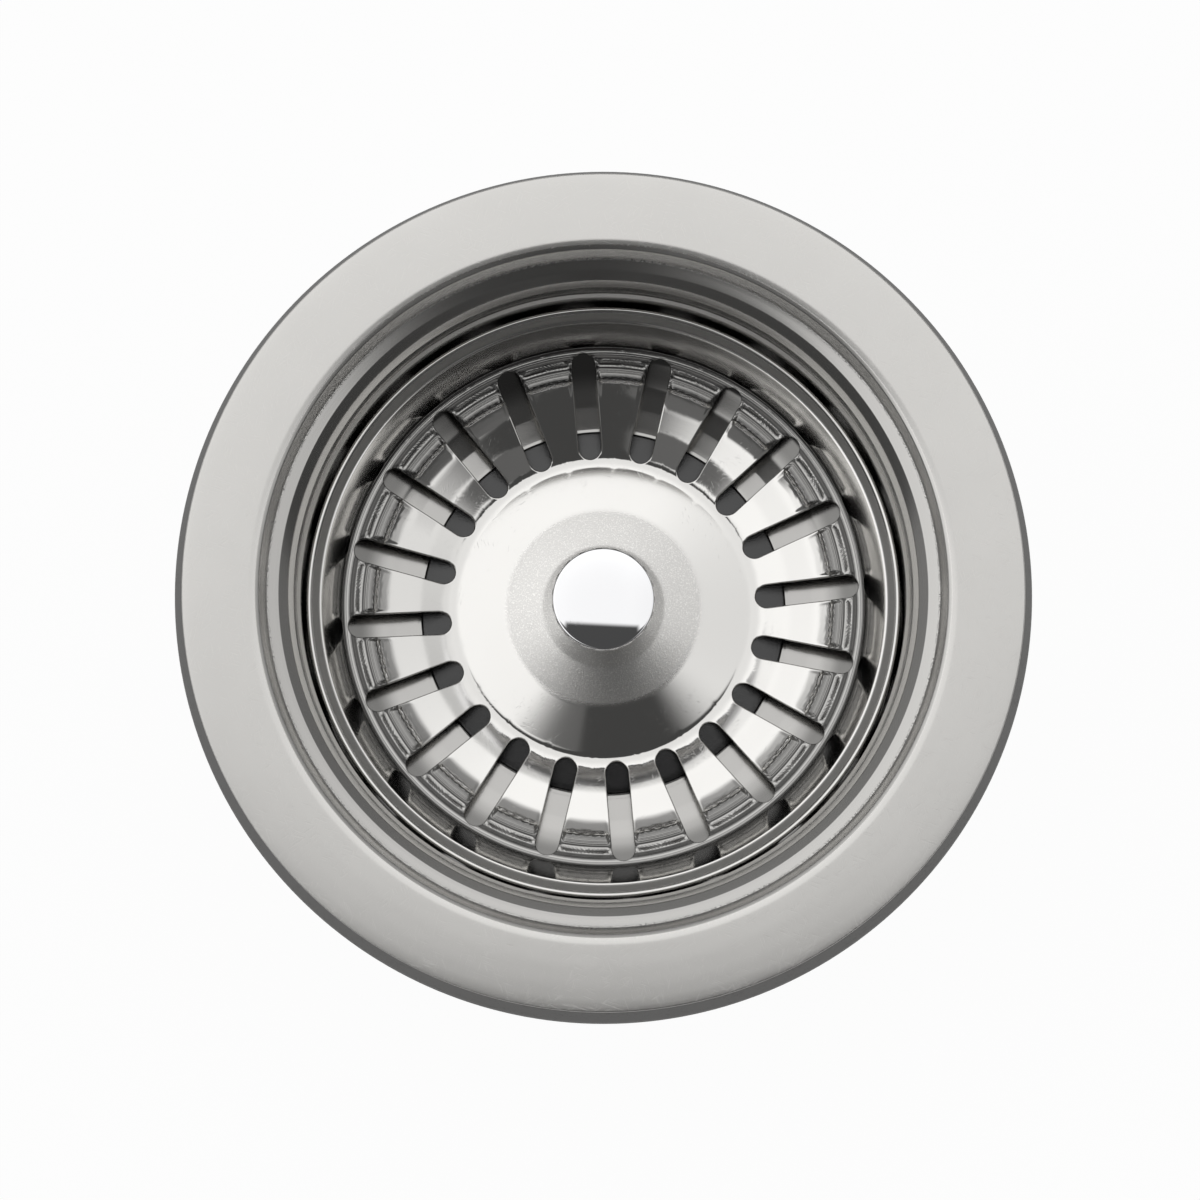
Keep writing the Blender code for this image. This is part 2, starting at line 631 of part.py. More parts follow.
def make_post(parts):
    """The centre post: a stud into the knob, a thick barrel inside the dome, a stem and a grooved tip."""
    stud_top = KNOB_TOP + STUD_COVER + GAP
    barrel_top = NECK_DEPTH + BASKET_SHEET + GAP
    barrel_bottom = PLATE_TOP - GAP
    groove = POST_RADIUS - GROOVE_DEPTH
    groove_top = SNAP_RING_TOP - GAP
    groove_bottom = SNAP_RING_BOTTOM + GAP
    points = [(0, stud_top), (STUD_RADIUS, stud_top), (STUD_RADIUS, barrel_top), (BARREL_RADIUS, barrel_top)]
    points += [(BARREL_RADIUS, barrel_bottom), (POST_RADIUS, barrel_bottom), (POST_RADIUS, groove_top)]
    points += [(groove, groove_top), (groove, groove_bottom), (POST_RADIUS, groove_bottom)]
    points += arc(POST_RADIUS - TIP_LENGTH / 2, POST_BOTTOM - TIP_LENGTH / 2, TIP_LENGTH / 2, 0, -90)
    points += [(0, POST_BOTTOM)]
    return turned("post", points, parts, SMALL_STEPS)


def make_backing_plate(parts):
    """The steel washer between the post's barrel and the rubber."""
    outline = washer_outline(POST_HOLE, PLATE_RADIUS, PLATE_TOP, PLATE_TOP + PLATE_THICK)
    return turned("backing_plate", outline, parts, SMALL_STEPS)


def make_stopper(parts):
    """The rubber stopper: a brim that seals on the floor's seat, and a plug that centres it in the outlet."""
    brim_bottom = STOPPER_TOP + BRIM_THICK
    bevel = BRIM_THICK / 4
    plug = OUTLET_RADIUS - PLUG_GAP
    points = [(POST_HOLE, STOPPER_TOP), (STOPPER_RADIUS - bevel, STOPPER_TOP)]
    points += [(STOPPER_RADIUS, STOPPER_TOP + bevel), (STOPPER_RADIUS, brim_bottom)]
    points += [(plug, brim_bottom), (plug - PLUG_TAPER, PLUG_BOTTOM)]
    points += [(POST_HOLE, PLUG_BOTTOM)]
    return turned("stopper", points, parts)


def make_stopper_retainer(parts):
    """The washer that holds the rubber up against the backing plate."""
    outline = washer_outline(POST_HOLE, RETAINER_RADIUS, RETAINER_TOP, RETAINER_TOP + RETAINER_THICK)
    return turned("stopper_retainer", outline, parts, SMALL_STEPS)


def split_ring(name, inner, outer, top, bottom, parts, cutters):
    """A ring with a gap in it, at +X."""
    ring = turned(name, washer_outline(inner, outer, top, bottom), parts, SMALL_STEPS)
    size = (2 * outer, SPLIT_WIDTH, bottom - top + 2 * OVERRUN)
    return cut(ring, box(name + "_split", size, (outer, 0, height((top + bottom) / 2)), cutters))


def make_lock_washer(parts, cutters):
    outer = POST_HOLE + LOCK_WASHER_WIDTH
    bottom = LOCK_WASHER_TOP + LOCK_WASHER_THICK
    return split_ring("lock_washer", POST_HOLE, outer, LOCK_WASHER_TOP, bottom, parts, cutters)


def make_snap_ring(parts, cutters):
    """The split ring in the post's groove. The post turns in it."""
    return split_ring("snap_ring", RING_INNER, RING_OUTER, SNAP_RING_TOP, SNAP_RING_BOTTOM, parts, cutters)


def make_retaining_nut(parts, cutters):
    bottom = NUT_TOP + NUT_HEIGHT
    nut = prism("retaining_nut", 6, POST_HOLE + NUT_WALL, NUT_TOP, bottom, parts)
    bore = rod_outline(POST_HOLE, NUT_TOP - OVERRUN, bottom + OVERRUN)
    return cut(nut, turned("retaining_nut_bore", bore, cutters, SMALL_STEPS))


def main():
    clear_scene()
    parts = collection_named("sink_drain_assembly")
    cutters = collection_named("cutters")
    finishes = {
        satin_steel("flange_steel"): [make_strainer_body(parts)],
        bright_steel("basket_steel"): [make_basket_shell(parts, cutters)],
        chrome("knob_chrome"): [make_knob(parts), make_knob_collar(parts)],
        bright_steel("post_steel"): [
            make_post(parts),
            make_backing_plate(parts),
            make_stopper_retainer(parts),
            make_lock_washer(parts, cutters),
            make_retaining_nut(parts, cutters),
        ],
        satin_steel("outlet_steel"): [make_outlet_spud(parts), make_hub_spider(parts, cutters)],
        cast_zinc("nut_zinc"): [make_lock_nut(parts, cutters), make_coupling_nut(parts, cutters)],
        black_rubber("rubber"): [make_stopper(parts), make_sink_gasket(parts), make_flange_seal(parts)],
        white_plastic("plastic"): [
            make_hub_sleeve(parts, cutters),
            make_snap_ring(parts, cutters),
            make_tail_washer(parts),
        ],
        grey_fibre("fibre"): [make_friction_ring(parts)],
    }
    for finish, pieces in finishes.items():
        for piece in pieces:
            piece.data.materials.clear()
            piece.data.materials.append(finish)


main()
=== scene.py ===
# %% [markdown]
# This lesson dresses a kitchen sink's basket strainer for its picture. The working model, with its sizes
# and joints, comes in as a fixed frame: real pieces of plain grey, in metres, with +Z up and the drain's
# axis on Z. The lesson makes a finer surface for each piece that shows, gives it the finish of the real
# metal or rubber, and lets it ride on the piece that it stands for, so that the basket still lifts and the
# nuts still turn.

import json
import math

import bmesh
import bpy
import numpy as np
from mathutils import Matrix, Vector


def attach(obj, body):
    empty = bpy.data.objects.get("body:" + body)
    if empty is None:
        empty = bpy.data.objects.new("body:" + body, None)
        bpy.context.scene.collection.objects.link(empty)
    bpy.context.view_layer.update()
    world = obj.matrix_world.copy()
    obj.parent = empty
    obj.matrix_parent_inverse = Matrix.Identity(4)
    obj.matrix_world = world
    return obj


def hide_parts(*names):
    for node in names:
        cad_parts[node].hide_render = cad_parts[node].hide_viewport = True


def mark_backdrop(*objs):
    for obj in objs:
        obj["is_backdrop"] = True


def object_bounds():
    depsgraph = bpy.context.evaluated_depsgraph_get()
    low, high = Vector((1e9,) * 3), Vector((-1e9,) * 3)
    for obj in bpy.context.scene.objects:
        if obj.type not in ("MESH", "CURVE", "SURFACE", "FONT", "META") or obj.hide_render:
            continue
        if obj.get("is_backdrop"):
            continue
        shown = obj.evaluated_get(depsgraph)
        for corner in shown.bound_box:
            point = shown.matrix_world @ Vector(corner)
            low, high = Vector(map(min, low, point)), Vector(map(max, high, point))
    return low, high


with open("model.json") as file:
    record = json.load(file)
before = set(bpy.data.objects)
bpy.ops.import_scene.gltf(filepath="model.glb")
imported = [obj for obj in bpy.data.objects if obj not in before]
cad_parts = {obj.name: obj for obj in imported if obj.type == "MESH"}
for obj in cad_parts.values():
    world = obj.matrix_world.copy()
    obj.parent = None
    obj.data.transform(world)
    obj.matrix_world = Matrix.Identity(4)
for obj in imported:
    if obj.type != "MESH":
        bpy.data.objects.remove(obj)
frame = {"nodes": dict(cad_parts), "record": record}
cad_low, cad_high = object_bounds()
MM = 0.001
TOP = cad_high.z
BODY_OF = {node: body for body, nodes in frame["record"]["behaviour"]["bodies"].items() for node in nodes}
print(len(frame["nodes"]), "pieces in the frame, and the flange's top is at", round(TOP / MM, 2), "mm")

# %% [markdown]
# The photograph looks almost straight down. The nearer edge of the flange's lip shows and the far one
# hides, and the deeper a ring lies, the further its circle slides down the picture, so the camera stands
# about six degrees towards the viewer's side of straight overhead. A long lens from 0.8 metres keeps the
# rings' sizes as they are in the photograph. It aims a little beside the axis, which puts the flange where
# the photograph has it.

# %% The camera
CAMERA_TILT = math.radians(6.2)
CAMERA_DISTANCE = 0.800
LENS = 181.5
AIM = Vector((-0.00046, -0.00143, TOP))


def make_camera():
    """A camera that looks at AIM from CAMERA_DISTANCE away, leaning from overhead towards -Y."""
    lens = bpy.data.cameras.new("camera")
    lens.lens = LENS
    lens.clip_end = 20.0
    camera = bpy.data.objects.new("camera", lens)
    bpy.context.scene.collection.objects.link(camera)
    back = Vector((0.0, -math.sin(CAMERA_TILT), math.cos(CAMERA_TILT)))
    camera.location = AIM + back * CAMERA_DISTANCE
    camera.rotation_euler = (CAMERA_TILT, 0.0, 0.0)
    bpy.context.scene.camera = camera
    return camera


print("The camera stands at", [round(v, 4) for v in make_camera().location])

# %% [markdown]
# Almost every piece is turned: an outline goes once round the axis. An outline here is a short list of
# corners, each with its radius, its depth below the flange's top and how much it is rounded, all in
# millimetres. Whole arrays do the rest. Each corner becomes a short curve, long stretches get extra points
# so that the shading stays true beside a corner, and the path is swept round as a grid of rings.

# %% Rounded outlines
CORNER_STEPS = 6
SPACING = 0.7


def rounded(rows, closed=True, steps=CORNER_STEPS):
    """The corners as smooth curves, in millimetres.

    A corner C with the unit directions u and v to its neighbours is cut back by rounding * tan(turn / 2),
    named c, and at most by 0.48 of the shorter side. Its curve is (1-t)(1-t)(C+cu) + 2t(1-t)C + tt(C+cv).
    """
    rows = np.asarray(rows, float)
    corners = rows[:, :2]
    before = np.roll(corners, 1, axis=0) - corners
    after = np.roll(corners, -1, axis=0) - corners
    before_length = np.linalg.norm(before, axis=1, keepdims=True)
    after_length = np.linalg.norm(after, axis=1, keepdims=True)
    before, after = before / before_length, after / after_length
    between = np.arccos(np.clip((before * after).sum(axis=1, keepdims=True), -1, 1))
    cut = rows[:, 2:3] * np.tan((math.pi - between) / 2)
    cut = np.minimum(cut, 0.48 * np.minimum(before_length, after_length))
    if not closed:
        cut[[0, -1]] = 0
    t = np.linspace(0, 1, steps + 1)[None, :, None]
    starts, middles, ends = corners + cut * before, corners, corners + cut * after
    curves = (1 - t) ** 2 * starts[:, None] + 2 * t * (1 - t) * middles[:, None] + t**2 * ends[:, None]
    path = curves.reshape(-1, 2)
    moved = np.linalg.norm(path - np.roll(path, 1, axis=0), axis=1) > 1e-7
    moved[0] = moved[0] or not closed
    return path[moved]


def dense(path, spacing=SPACING, closed=True):
    """The path with each stretch that is longer than the spacing split into equal parts."""
    starts = path if closed else path[:-1]
    steps = (np.roll(path, -1, axis=0) if closed else path[1:]) - starts
    parts = np.maximum(1, np.ceil(np.linalg.norm(steps, axis=1) / spacing)).astype(int)
    stretch = np.repeat(np.arange(len(starts)), parts)
    share = (np.arange(len(stretch)) - np.repeat(np.cumsum(parts) - parts, parts)) / parts[stretch]
    points = starts[stretch] + steps[stretch] * share[:, None]
    return points if closed else np.vstack((points, path[-1:]))


def arc_rows(radius, depth, size, start, end, steps):
    """Rows along an arc round (radius, depth). Angles are in degrees: 0 points outward and 90 points up."""
    angles = np.radians(np.linspace(start, end, steps + 1))
    places = np.stack((radius + size * np.cos(angles), depth - size * np.sin(angles)), axis=1)
    return [(r, d, 0.0) for r, d in places]


def offset_rows(rows, thickness):
    """The rows moved by the thickness to the underside of a sheet whose top they follow outward.

    A corner moves along the bisector of its sides' normals by thickness / cos(half the turn), and its
    rounding grows or shrinks by the thickness, as the outside and the inside of a bend do.
    """
    rows = np.asarray(rows, float)
    sides = np.diff(rows[:, :2], axis=0)
    sides /= np.linalg.norm(sides, axis=1, keepdims=True)
    normals = np.stack((-sides[:, 1], sides[:, 0]), axis=1)
    before, after = np.vstack((normals[:1], normals)), np.vstack((normals, normals[-1:]))
    bisector = before + after
    bisector /= np.linalg.norm(bisector, axis=1, keepdims=True)
    reach = thickness / (bisector * before).sum(axis=1, keepdims=True)
    turn = before[:, 0] * after[:, 1] - before[:, 1] * after[:, 0]
    rounding = np.maximum(rows[:, 2] - np.sign(turn) * thickness, 0.15)
    return np.column_stack((rows[:, :2] + bisector * reach, rounding))


print("A square corner becomes", len(rounded([(0, 0, 0), (1, 0, 0.5), (1, 1, 0)], closed=False)), "points")

# %% Grids and turned pieces
ROUND_STEPS = 192


def mesh_object(name, points, faces):
    """A smooth mesh in metres. Points that meet become one, and the faces turn outward."""
    mesh = bpy.data.meshes.new(name)
    mesh.from_pydata(points, [], faces)
    shape = bmesh.new()
    shape.from_mesh(mesh)
    bmesh.ops.remove_doubles(shape, verts=shape.verts, dist=1e-6)
    bmesh.ops.recalc_face_normals(shape, faces=shape.faces)
    shape.to_mesh(mesh)
    shape.free()
    mesh.shade_smooth()
    obj = bpy.data.objects.new(name, mesh)
    bpy.context.scene.collection.objects.link(obj)
    print(name, "has", len(mesh.polygons), "faces")
    return obj


def grid_faces(rows, columns, close_rows):
    """Four corners a face for a grid of points stored row by row. Each row closes on itself."""
    last_row = rows if close_rows else rows - 1
    row, column = np.meshgrid(np.arange(last_row), np.arange(columns), indexing="ij")
    next_row, next_column = (row + 1) % rows, (column + 1) % columns
    corners = (row * columns + column, row * columns + next_column)
    corners += (next_row * columns + next_column, next_row * columns + column)
    return np.stack(corners, axis=-1).reshape(-1, 4)


def round_axis(radius, depth, turn):
    """Points in metres: (r cos a, r sin a, TOP - d) for each radius, depth and angle."""
    return np.stack((radius * np.cos(turn) * MM, radius * np.sin(turn) * MM, TOP - depth * MM), axis=-1)


def sweep(path, angles, warp=None):
    """A path's points turned round the axis, as a grid of rings.

    The warp may change the radius and depth of each point by its angle, as threads, lugs and flats need.
    """
    radius, depth, turn = np.broadcast_arrays(path[:, :1], path[:, 1:], angles[None, :])
    if warp is not None:
        radius, depth = warp(radius, depth, turn)
    return round_axis(radius, depth, turn)


def even_angles(steps=ROUND_STEPS, start=0.0):
    """Angles in radians: start + k * 2 pi / steps, for k from 0 on."""
    return start + np.arange(steps) * 2 * math.pi / steps


def turned(name, rows, closed=True, angles=None, spacing=SPACING, warp=None, steps=CORNER_STEPS):
    """A solid from rows of (radius, depth, rounding). An open outline starts and ends on the axis."""
    path = dense(rounded(rows, closed, steps), spacing, closed)
    angles = even_angles() if angles is None else angles
    points = sweep(path, angles, warp)
    faces = grid_faces(len(path), len(angles), closed)
    return mesh_object(name, points.reshape(-1, 3), faces)


def measures(node):
    """A node's inner and outer radius, and the depths of its top and bottom, in millimetres."""
    mesh = frame["nodes"][node].data
    places = np.empty(len(mesh.vertices) * 3, np.float32)
    mesh.vertices.foreach_get("co", places)
    x, y, z = places.reshape(-1, 3).astype(float).T / MM
    radii, depths = np.hypot(x, y), TOP / MM - z
    return radii.min(), radii.max(), depths.min(), depths.max()


def stand_for(piece, node, finish):
    """The piece takes a finish and is shown in the place of a node, moving with that node's body."""
    piece.data.materials.append(finish)
    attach(piece, BODY_OF[node])
    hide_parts(node)
    return piece


print("The knob measures", [round(v, 2) for v in measures("knob")])

# %% [markdown]
# A finish is more than one colour. Effects that several finishes share are made once as node groups: the
# radius and depth of a point, a band between two radii, the scratches of use, and the fine rings that a
# lathe or a buffing wheel leaves. They read Object coordinates, so a pattern stays on its piece when the
# piece moves.

# %% Node helpers
def add_node(tree, kind, inputs=(), **settings):
    """A node with its settings made. An input is given a value, or the output socket that feeds it."""
    made = tree.nodes.new(kind)
    for name, value in settings.items():
        setattr(made, name, value)
    for name, value in dict(inputs).items():
        if isinstance(value, bpy.types.NodeSocket):
            tree.links.new(value, made.inputs[name])
        else:
            made.inputs[name].default_value = value
    return made


def math_node(tree, operation, *values):
    """A Math node's output, for values or sockets in order."""
    return add_node(tree, "ShaderNodeMath", enumerate(values), operation=operation).outputs[0]


def times(tree, first, second):
    """The product of two values or sockets."""
    return math_node(tree, "MULTIPLY", first, second)


def plus(tree, first, second):
    """The sum of two values or sockets."""
    return math_node(tree, "ADD", first, second)


def remap(tree, value, low, high, to_low=0.0, to_high=1.0):
    """A value carried smoothly from one range to another, and held at its ends."""
    inputs = {"Value": value, "From Min": low, "From Max": high, "To Min": to_low, "To Max": to_high}
    return add_node(tree, "ShaderNodeMapRange", inputs, interpolation_type="SMOOTHSTEP").outputs[0]


def mix_colour(tree, share, first, second):
    """Two colours mixed by a share."""
    made = add_node(tree, "ShaderNodeMix", data_type="RGBA")
    for index, value in ((0, share), (6, first), (7, second)):
        if isinstance(value, bpy.types.NodeSocket):
            tree.links.new(value, made.inputs[index])
        else:
            made.inputs[index].default_value = value
    return made.outputs[2]


def noise(tree, vector, scale, detail=3.0, roughness=0.5):
    """A smooth random value about one half. Its bumps are about 1 / scale metres wide."""
    inputs = {"Vector": vector, "Scale": scale, "Detail": detail, "Roughness": roughness}
    return add_node(tree, "ShaderNodeTexNoise", inputs).outputs["Fac"]


def new_group(name, inputs, outputs):
    """An empty shader node group. Inputs map a socket's name to its value, and outputs are names."""
    tree = bpy.data.node_groups.new(name, "ShaderNodeTree")
    for socket, value in inputs.items():
        made = tree.interface.new_socket(socket, in_out="INPUT", socket_type="NodeSocketFloat")
        made.default_value = value
    for socket in outputs:
        tree.interface.new_socket(socket, in_out="OUTPUT", socket_type="NodeSocketFloat")
    return tree, add_node(tree, "NodeGroupInput").outputs, add_node(tree, "NodeGroupOutput").inputs


def use_group(tree, group, **values):
    """A group placed in a material, with its inputs set by name. Underscores stand for spaces."""
    inputs = {name.replace("_", " "): value for name, value in values.items()}
    return add_node(tree, "ShaderNodeGroup", inputs, node_tree=group).outputs


# %% Where a point lies: its radius and depth
def make_place_group():
    """Radius = length of (x, y), and Depth = the flange's top minus z, both in millimetres."""
    tree, _, outputs = new_group("place_on_drain", {}, ["Radius", "Depth"])
    place = add_node(tree, "ShaderNodeTexCoord").outputs["Object"]
    x, y, z = add_node(tree, "ShaderNodeSeparateXYZ", {"Vector": place}).outputs[:3]
    squares = plus(tree, times(tree, x, x), times(tree, y, y))
    radius = math_node(tree, "SQRT", squares)
    tree.links.new(math_node(tree, "DIVIDE", radius, MM), outputs["Radius"])
    tree.links.new(math_node(tree, "DIVIDE", math_node(tree, "SUBTRACT", TOP, z), MM), outputs["Depth"])
    return tree


def make_band_group():
    """Mask = 1 where Value lies between Low and High, fading over Fade at both ends."""
    inputs = {"Value": 0.0, "Low": 0.0, "High": 1.0, "Fade": 0.1}
    tree, given, outputs = new_group("band", inputs, ["Mask"])
    low_end = plus(tree, given["Low"], given["Fade"])
    high_start = math_node(tree, "SUBTRACT", given["High"], given["Fade"])
    rise = remap(tree, given["Value"], given["Low"], low_end)
    fall = remap(tree, given["Value"], high_start, given["High"], 1.0, 0.0)
    tree.links.new(times(tree, rise, fall), outputs["Mask"])
    return tree


PLACE = make_place_group()
BAND = make_band_group()
print("Groups:", PLACE.name, BAND.name)


def band(tree, value, low, high, fade):
    """The band group's mask, from low to high."""
    return use_group(tree, BAND, Value=value, Low=low, High=high, Fade=fade)["Mask"]


# %% Scratches, lathe rings and grain
SCRATCH_TURNS = (0.3, 1.25, 2.2, 2.85)
SCRATCH_CREST = (0.62, 0.72)
SCRATCH_LENGTH = 10.0
PATCH_SCALE, PATCH_FADE = 0.04, 0.12
CLOUD_SIZE = 60.0


def make_scratch_group():
    """Mask = thin short lines in four directions.

    Each direction is a noise that is turned and stretched to ten times its width. Only its highest crests
    stay, and only where a second, broad noise is high, so that the lines are few.
    """
    tree, given, outputs = new_group("scratches", {"Scale": 5000.0, "Few": 0.50}, ["Mask"])
    place = add_node(tree, "ShaderNodeTexCoord").outputs["Object"]
    found = 0.0
    for index, turn in enumerate(SCRATCH_TURNS):
        inputs = {"Vector": place, "Rotation": (0.0, 0.0, turn), "Scale": (1.0, SCRATCH_LENGTH, 3.0)}
        stretched = add_node(tree, "ShaderNodeMapping", inputs, vector_type="TEXTURE").outputs[0]
        crest = remap(tree, noise(tree, stretched, given["Scale"], 1.0), *SCRATCH_CREST)
        inputs = {"Vector": place, "Location": (index, index, 0.0)}
        shifted = add_node(tree, "ShaderNodeMapping", inputs).outputs[0]
        patches = noise(tree, shifted, times(tree, given["Scale"], PATCH_SCALE), 2.0)
        kept = remap(tree, patches, given["Few"], plus(tree, given["Few"], PATCH_FADE))
        found = math_node(tree, "MAXIMUM", found, times(tree, crest, kept))
    tree.links.new(found, outputs["Mask"])
    return tree


def make_lathe_group():
    """Height = fine rings round the axis: a noise read along the radius plus 1.7 times the depth."""
    tree, given, outputs = new_group("lathe_rings", {"Spacing": 0.12}, ["Height"])
    place = use_group(tree, PLACE)
    along = plus(tree, place["Radius"], times(tree, place["Depth"], 1.7))
    rings = math_node(tree, "DIVIDE", along, given["Spacing"])
    inputs = {"W": rings, "Scale": 1.0, "Detail": 2.0}
    line = add_node(tree, "ShaderNodeTexNoise", inputs, noise_dimensions="1D")
    tree.links.new(line.outputs["Fac"], outputs["Height"])
    return tree


def make_grain_group():
    """Height = a fine even grain, and Cloud = a broad slow change, both about one half."""
    tree, given, outputs = new_group("grain", {"Scale": 9000.0}, ["Height", "Cloud"])
    place = add_node(tree, "ShaderNodeTexCoord").outputs["Object"]
    tree.links.new(noise(tree, place, given["Scale"], 2.0, 0.6), outputs["Height"])
    broad = math_node(tree, "DIVIDE", given["Scale"], CLOUD_SIZE)
    tree.links.new(noise(tree, place, broad), outputs["Cloud"])
    return tree


SCRATCHES = make_scratch_group()
LATHE = make_lathe_group()
GRAIN = make_grain_group()
print("Groups:", SCRATCHES.name, LATHE.name, GRAIN.name)

# %% A start for each finish
BASE_COLOURS = {row["slot"]: (*row["base_color"], 1.0) for row in frame["record"]["materials"]}


def new_finish(name, metallic, roughness):
    """A material with a Principled BSDF whose plain values are set on its own sockets."""
    made = bpy.data.materials.new(name)
    made.use_nodes = True
    shader = made.node_tree.nodes["Principled BSDF"]
    shader.inputs["Metallic"].default_value = metallic
    shader.inputs["Roughness"].default_value = roughness
    return made, made.node_tree, shader


def shade(colour, factor):
    """The colour times a factor, with its alpha at 1."""
    return tuple(c * factor for c in colour[:3]) + (1.0,)


def clouded(tree, grain, colour, spread):
    """The colour, made darker and brighter by the spread in slow clouds."""
    return mix_colour(tree, grain["Cloud"], shade(colour, 1 - spread), shade(colour, 1 + spread))


def layered(tree, start, colour, *layers):
    """Shades of a colour laid over a start in order, each given as (mask, factor)."""
    for mask, factor in layers:
        start = mix_colour(tree, mask, start, shade(colour, factor))
    return start


def total(tree, *parts, start=0.0):
    """The start plus the sum of sockets, each given as (socket, factor)."""
    for socket, factor in parts:
        start = plus(tree, start, times(tree, socket, factor))
    return start


def dress(tree, shader, colour, roughness, relief, distance):
    """Link colour, roughness and, through a Bump, relief. The relief's distance is in metres."""
    tree.links.new(colour, shader.inputs["Base Color"])
    tree.links.new(roughness, shader.inputs["Roughness"])
    raised = add_node(tree, "ShaderNodeBump", {"Height": relief, "Distance": distance})
    tree.links.new(raised.outputs[0], shader.inputs["Normal"])


print("Base colours:", BASE_COLOURS)

# %% [markdown]
# The strainer's body is one stamped sheet of stainless steel: the flange with its turned-down lip, the
# stepped throat, the cup's wall and the floor with the seat. Its upper face is drawn as one outline, which
# runs from the outlet's edge to the lip's foot. The underside follows at the sheet's thickness, so the
# metal is as thick in every bend. Rolled threads for the lock nut run round the wall's outside, within the
# nut's clearance.

# %% The strainer's body
SHEET = 1.0
CUP_THREAD_PITCH = 2.117
CUP_THREAD_CREST = 0.24
CUP_THREAD_SPAN = (9.0, 27.0)
CUP_THREAD_FACE = (41.5, 42.5)
CLOSE_ROWS = np.arange(9.0, 24.6, 0.25)
BODY_HOLE, BODY_OUTER = measures("strainer_body")[:2]
THROAT_FOOT = (41.0, 7.0, 1.2)
UPPER_FACE = [
    (BODY_HOLE, 30.3, 0.0), (25.5, 30.3, 0.6), (28.6, 29.8, 4.0), (31.6, 29.1, 6.0), (35.4, 27.6, 4.0),
    (41.0, 27.2, 2.4), THROAT_FOOT, (41.2, 5.2, 1.2), (41.9, 3.6, 0.7), (43.1, 2.6, 0.6),
    (44.7, 1.95, 0.2), (45.65, 0.45, 0.5), (46.15, 0.18, 0.6), (46.9, 0.0, 1.5), (49.8, 0.13, 80.0),
    (52.6, 0.32, 80.0), (54.6, 0.50, 28.0), (55.85, 0.66, 0.25), (BODY_OUTER, 6.5, 0.0),
]
WALL_BEAD = [(41.0, 13.6, 1.0), (40.53, 12.6, 0.6), (40.53, 9.5, 0.3), (41.0, 8.8, 0.2)]


def fade_in(value, low, high):
    """A smooth step from 0 at low to 1 at high: s = share of the way, and s s (3 - 2s)."""
    share = np.clip((value - low) / (high - low), 0, 1)
    return share * share * (3 - 2 * share)


def thread_wave(depth, turn, pitch):
    """A thread's section: 1 at the crest, where depth / pitch + turns is whole, and 0 at the root."""
    return fade_in(0.5 + 0.5 * np.cos(2 * math.pi * depth / pitch + turn), 0, 1)


def between(depth, start, end, fade):
    """A share that is 1 from start to end and fades to 0 inside both."""
    return fade_in(depth, start, start + fade) * (1 - fade_in(depth, end - fade, end))


def cup_threads(radius, depth, turn):
    """The outside of the wall stands out to the crest along the thread."""
    outside = (radius > CUP_THREAD_FACE[0]) & (radius < CUP_THREAD_FACE[1])
    span = between(depth, *CUP_THREAD_SPAN, CUP_THREAD_PITCH)
    return radius + outside * span * thread_wave(depth, turn, CUP_THREAD_PITCH) * CUP_THREAD_CREST, depth


def make_strainer_body():
    """The wall has a low bead inside, just below the throat.

    Only the threaded stretch outside needs rows that lie close together, so it gets rows of its own.
    """
    under = [tuple(row) for row in offset_rows(UPPER_FACE, SHEET)[::-1]]
    wall = max(index for index, row in enumerate(under) if row[1] < CUP_THREAD_SPAN[0])
    close = [(under[wall][0], depth, 0.0) for depth in CLOSE_ROWS]
    throat = UPPER_FACE.index(THROAT_FOOT)
    rows = UPPER_FACE[:throat] + WALL_BEAD + UPPER_FACE[throat:]
    rows += under[:wall + 1] + close + under[wall + 1:]
    angles = even_angles(240)
    return turned("strainer_flange_and_cup", rows, angles=angles, spacing=0.9, warp=cup_threads, steps=5)


strainer = make_strainer_body()

# %% [markdown]
# The flange has a satin finish with faint scratches that run every way. Its throat is smoother, the crease
# has small rough specks where the tool left the sheet, and the turned-down lip is duller. The colour also
# carries painted shade: darker over the throat and the cup, darker still in the corner of the cup's floor,
# and darkest on the lip. One material holds all of it, and the radius and depth of a point decide its finish.

# %% The flange's finish
LIP_PAINTED_SHADE, CORNER_PAINTED_SHADE, THROAT_PAINTED_SHADE = 0.18, 0.3, 0.76
SPECK_SHADE, SCRATCH_SHADE = 0.45, 1.25
FACE_RADII, THROAT_RADII, CREASE_BAND = (45.5, 47.0), (44.2, 45.2), (44.35, 45.05, 0.25)
LIP_DEPTHS, LIP_RADII = (0.6, 0.9), (55.75, 55.9)
FLOOR_DEPTHS, CORNER_RADII = (22.0, 27.0), (30.0, 33.5)
FINE_RELIEF = 0.000006


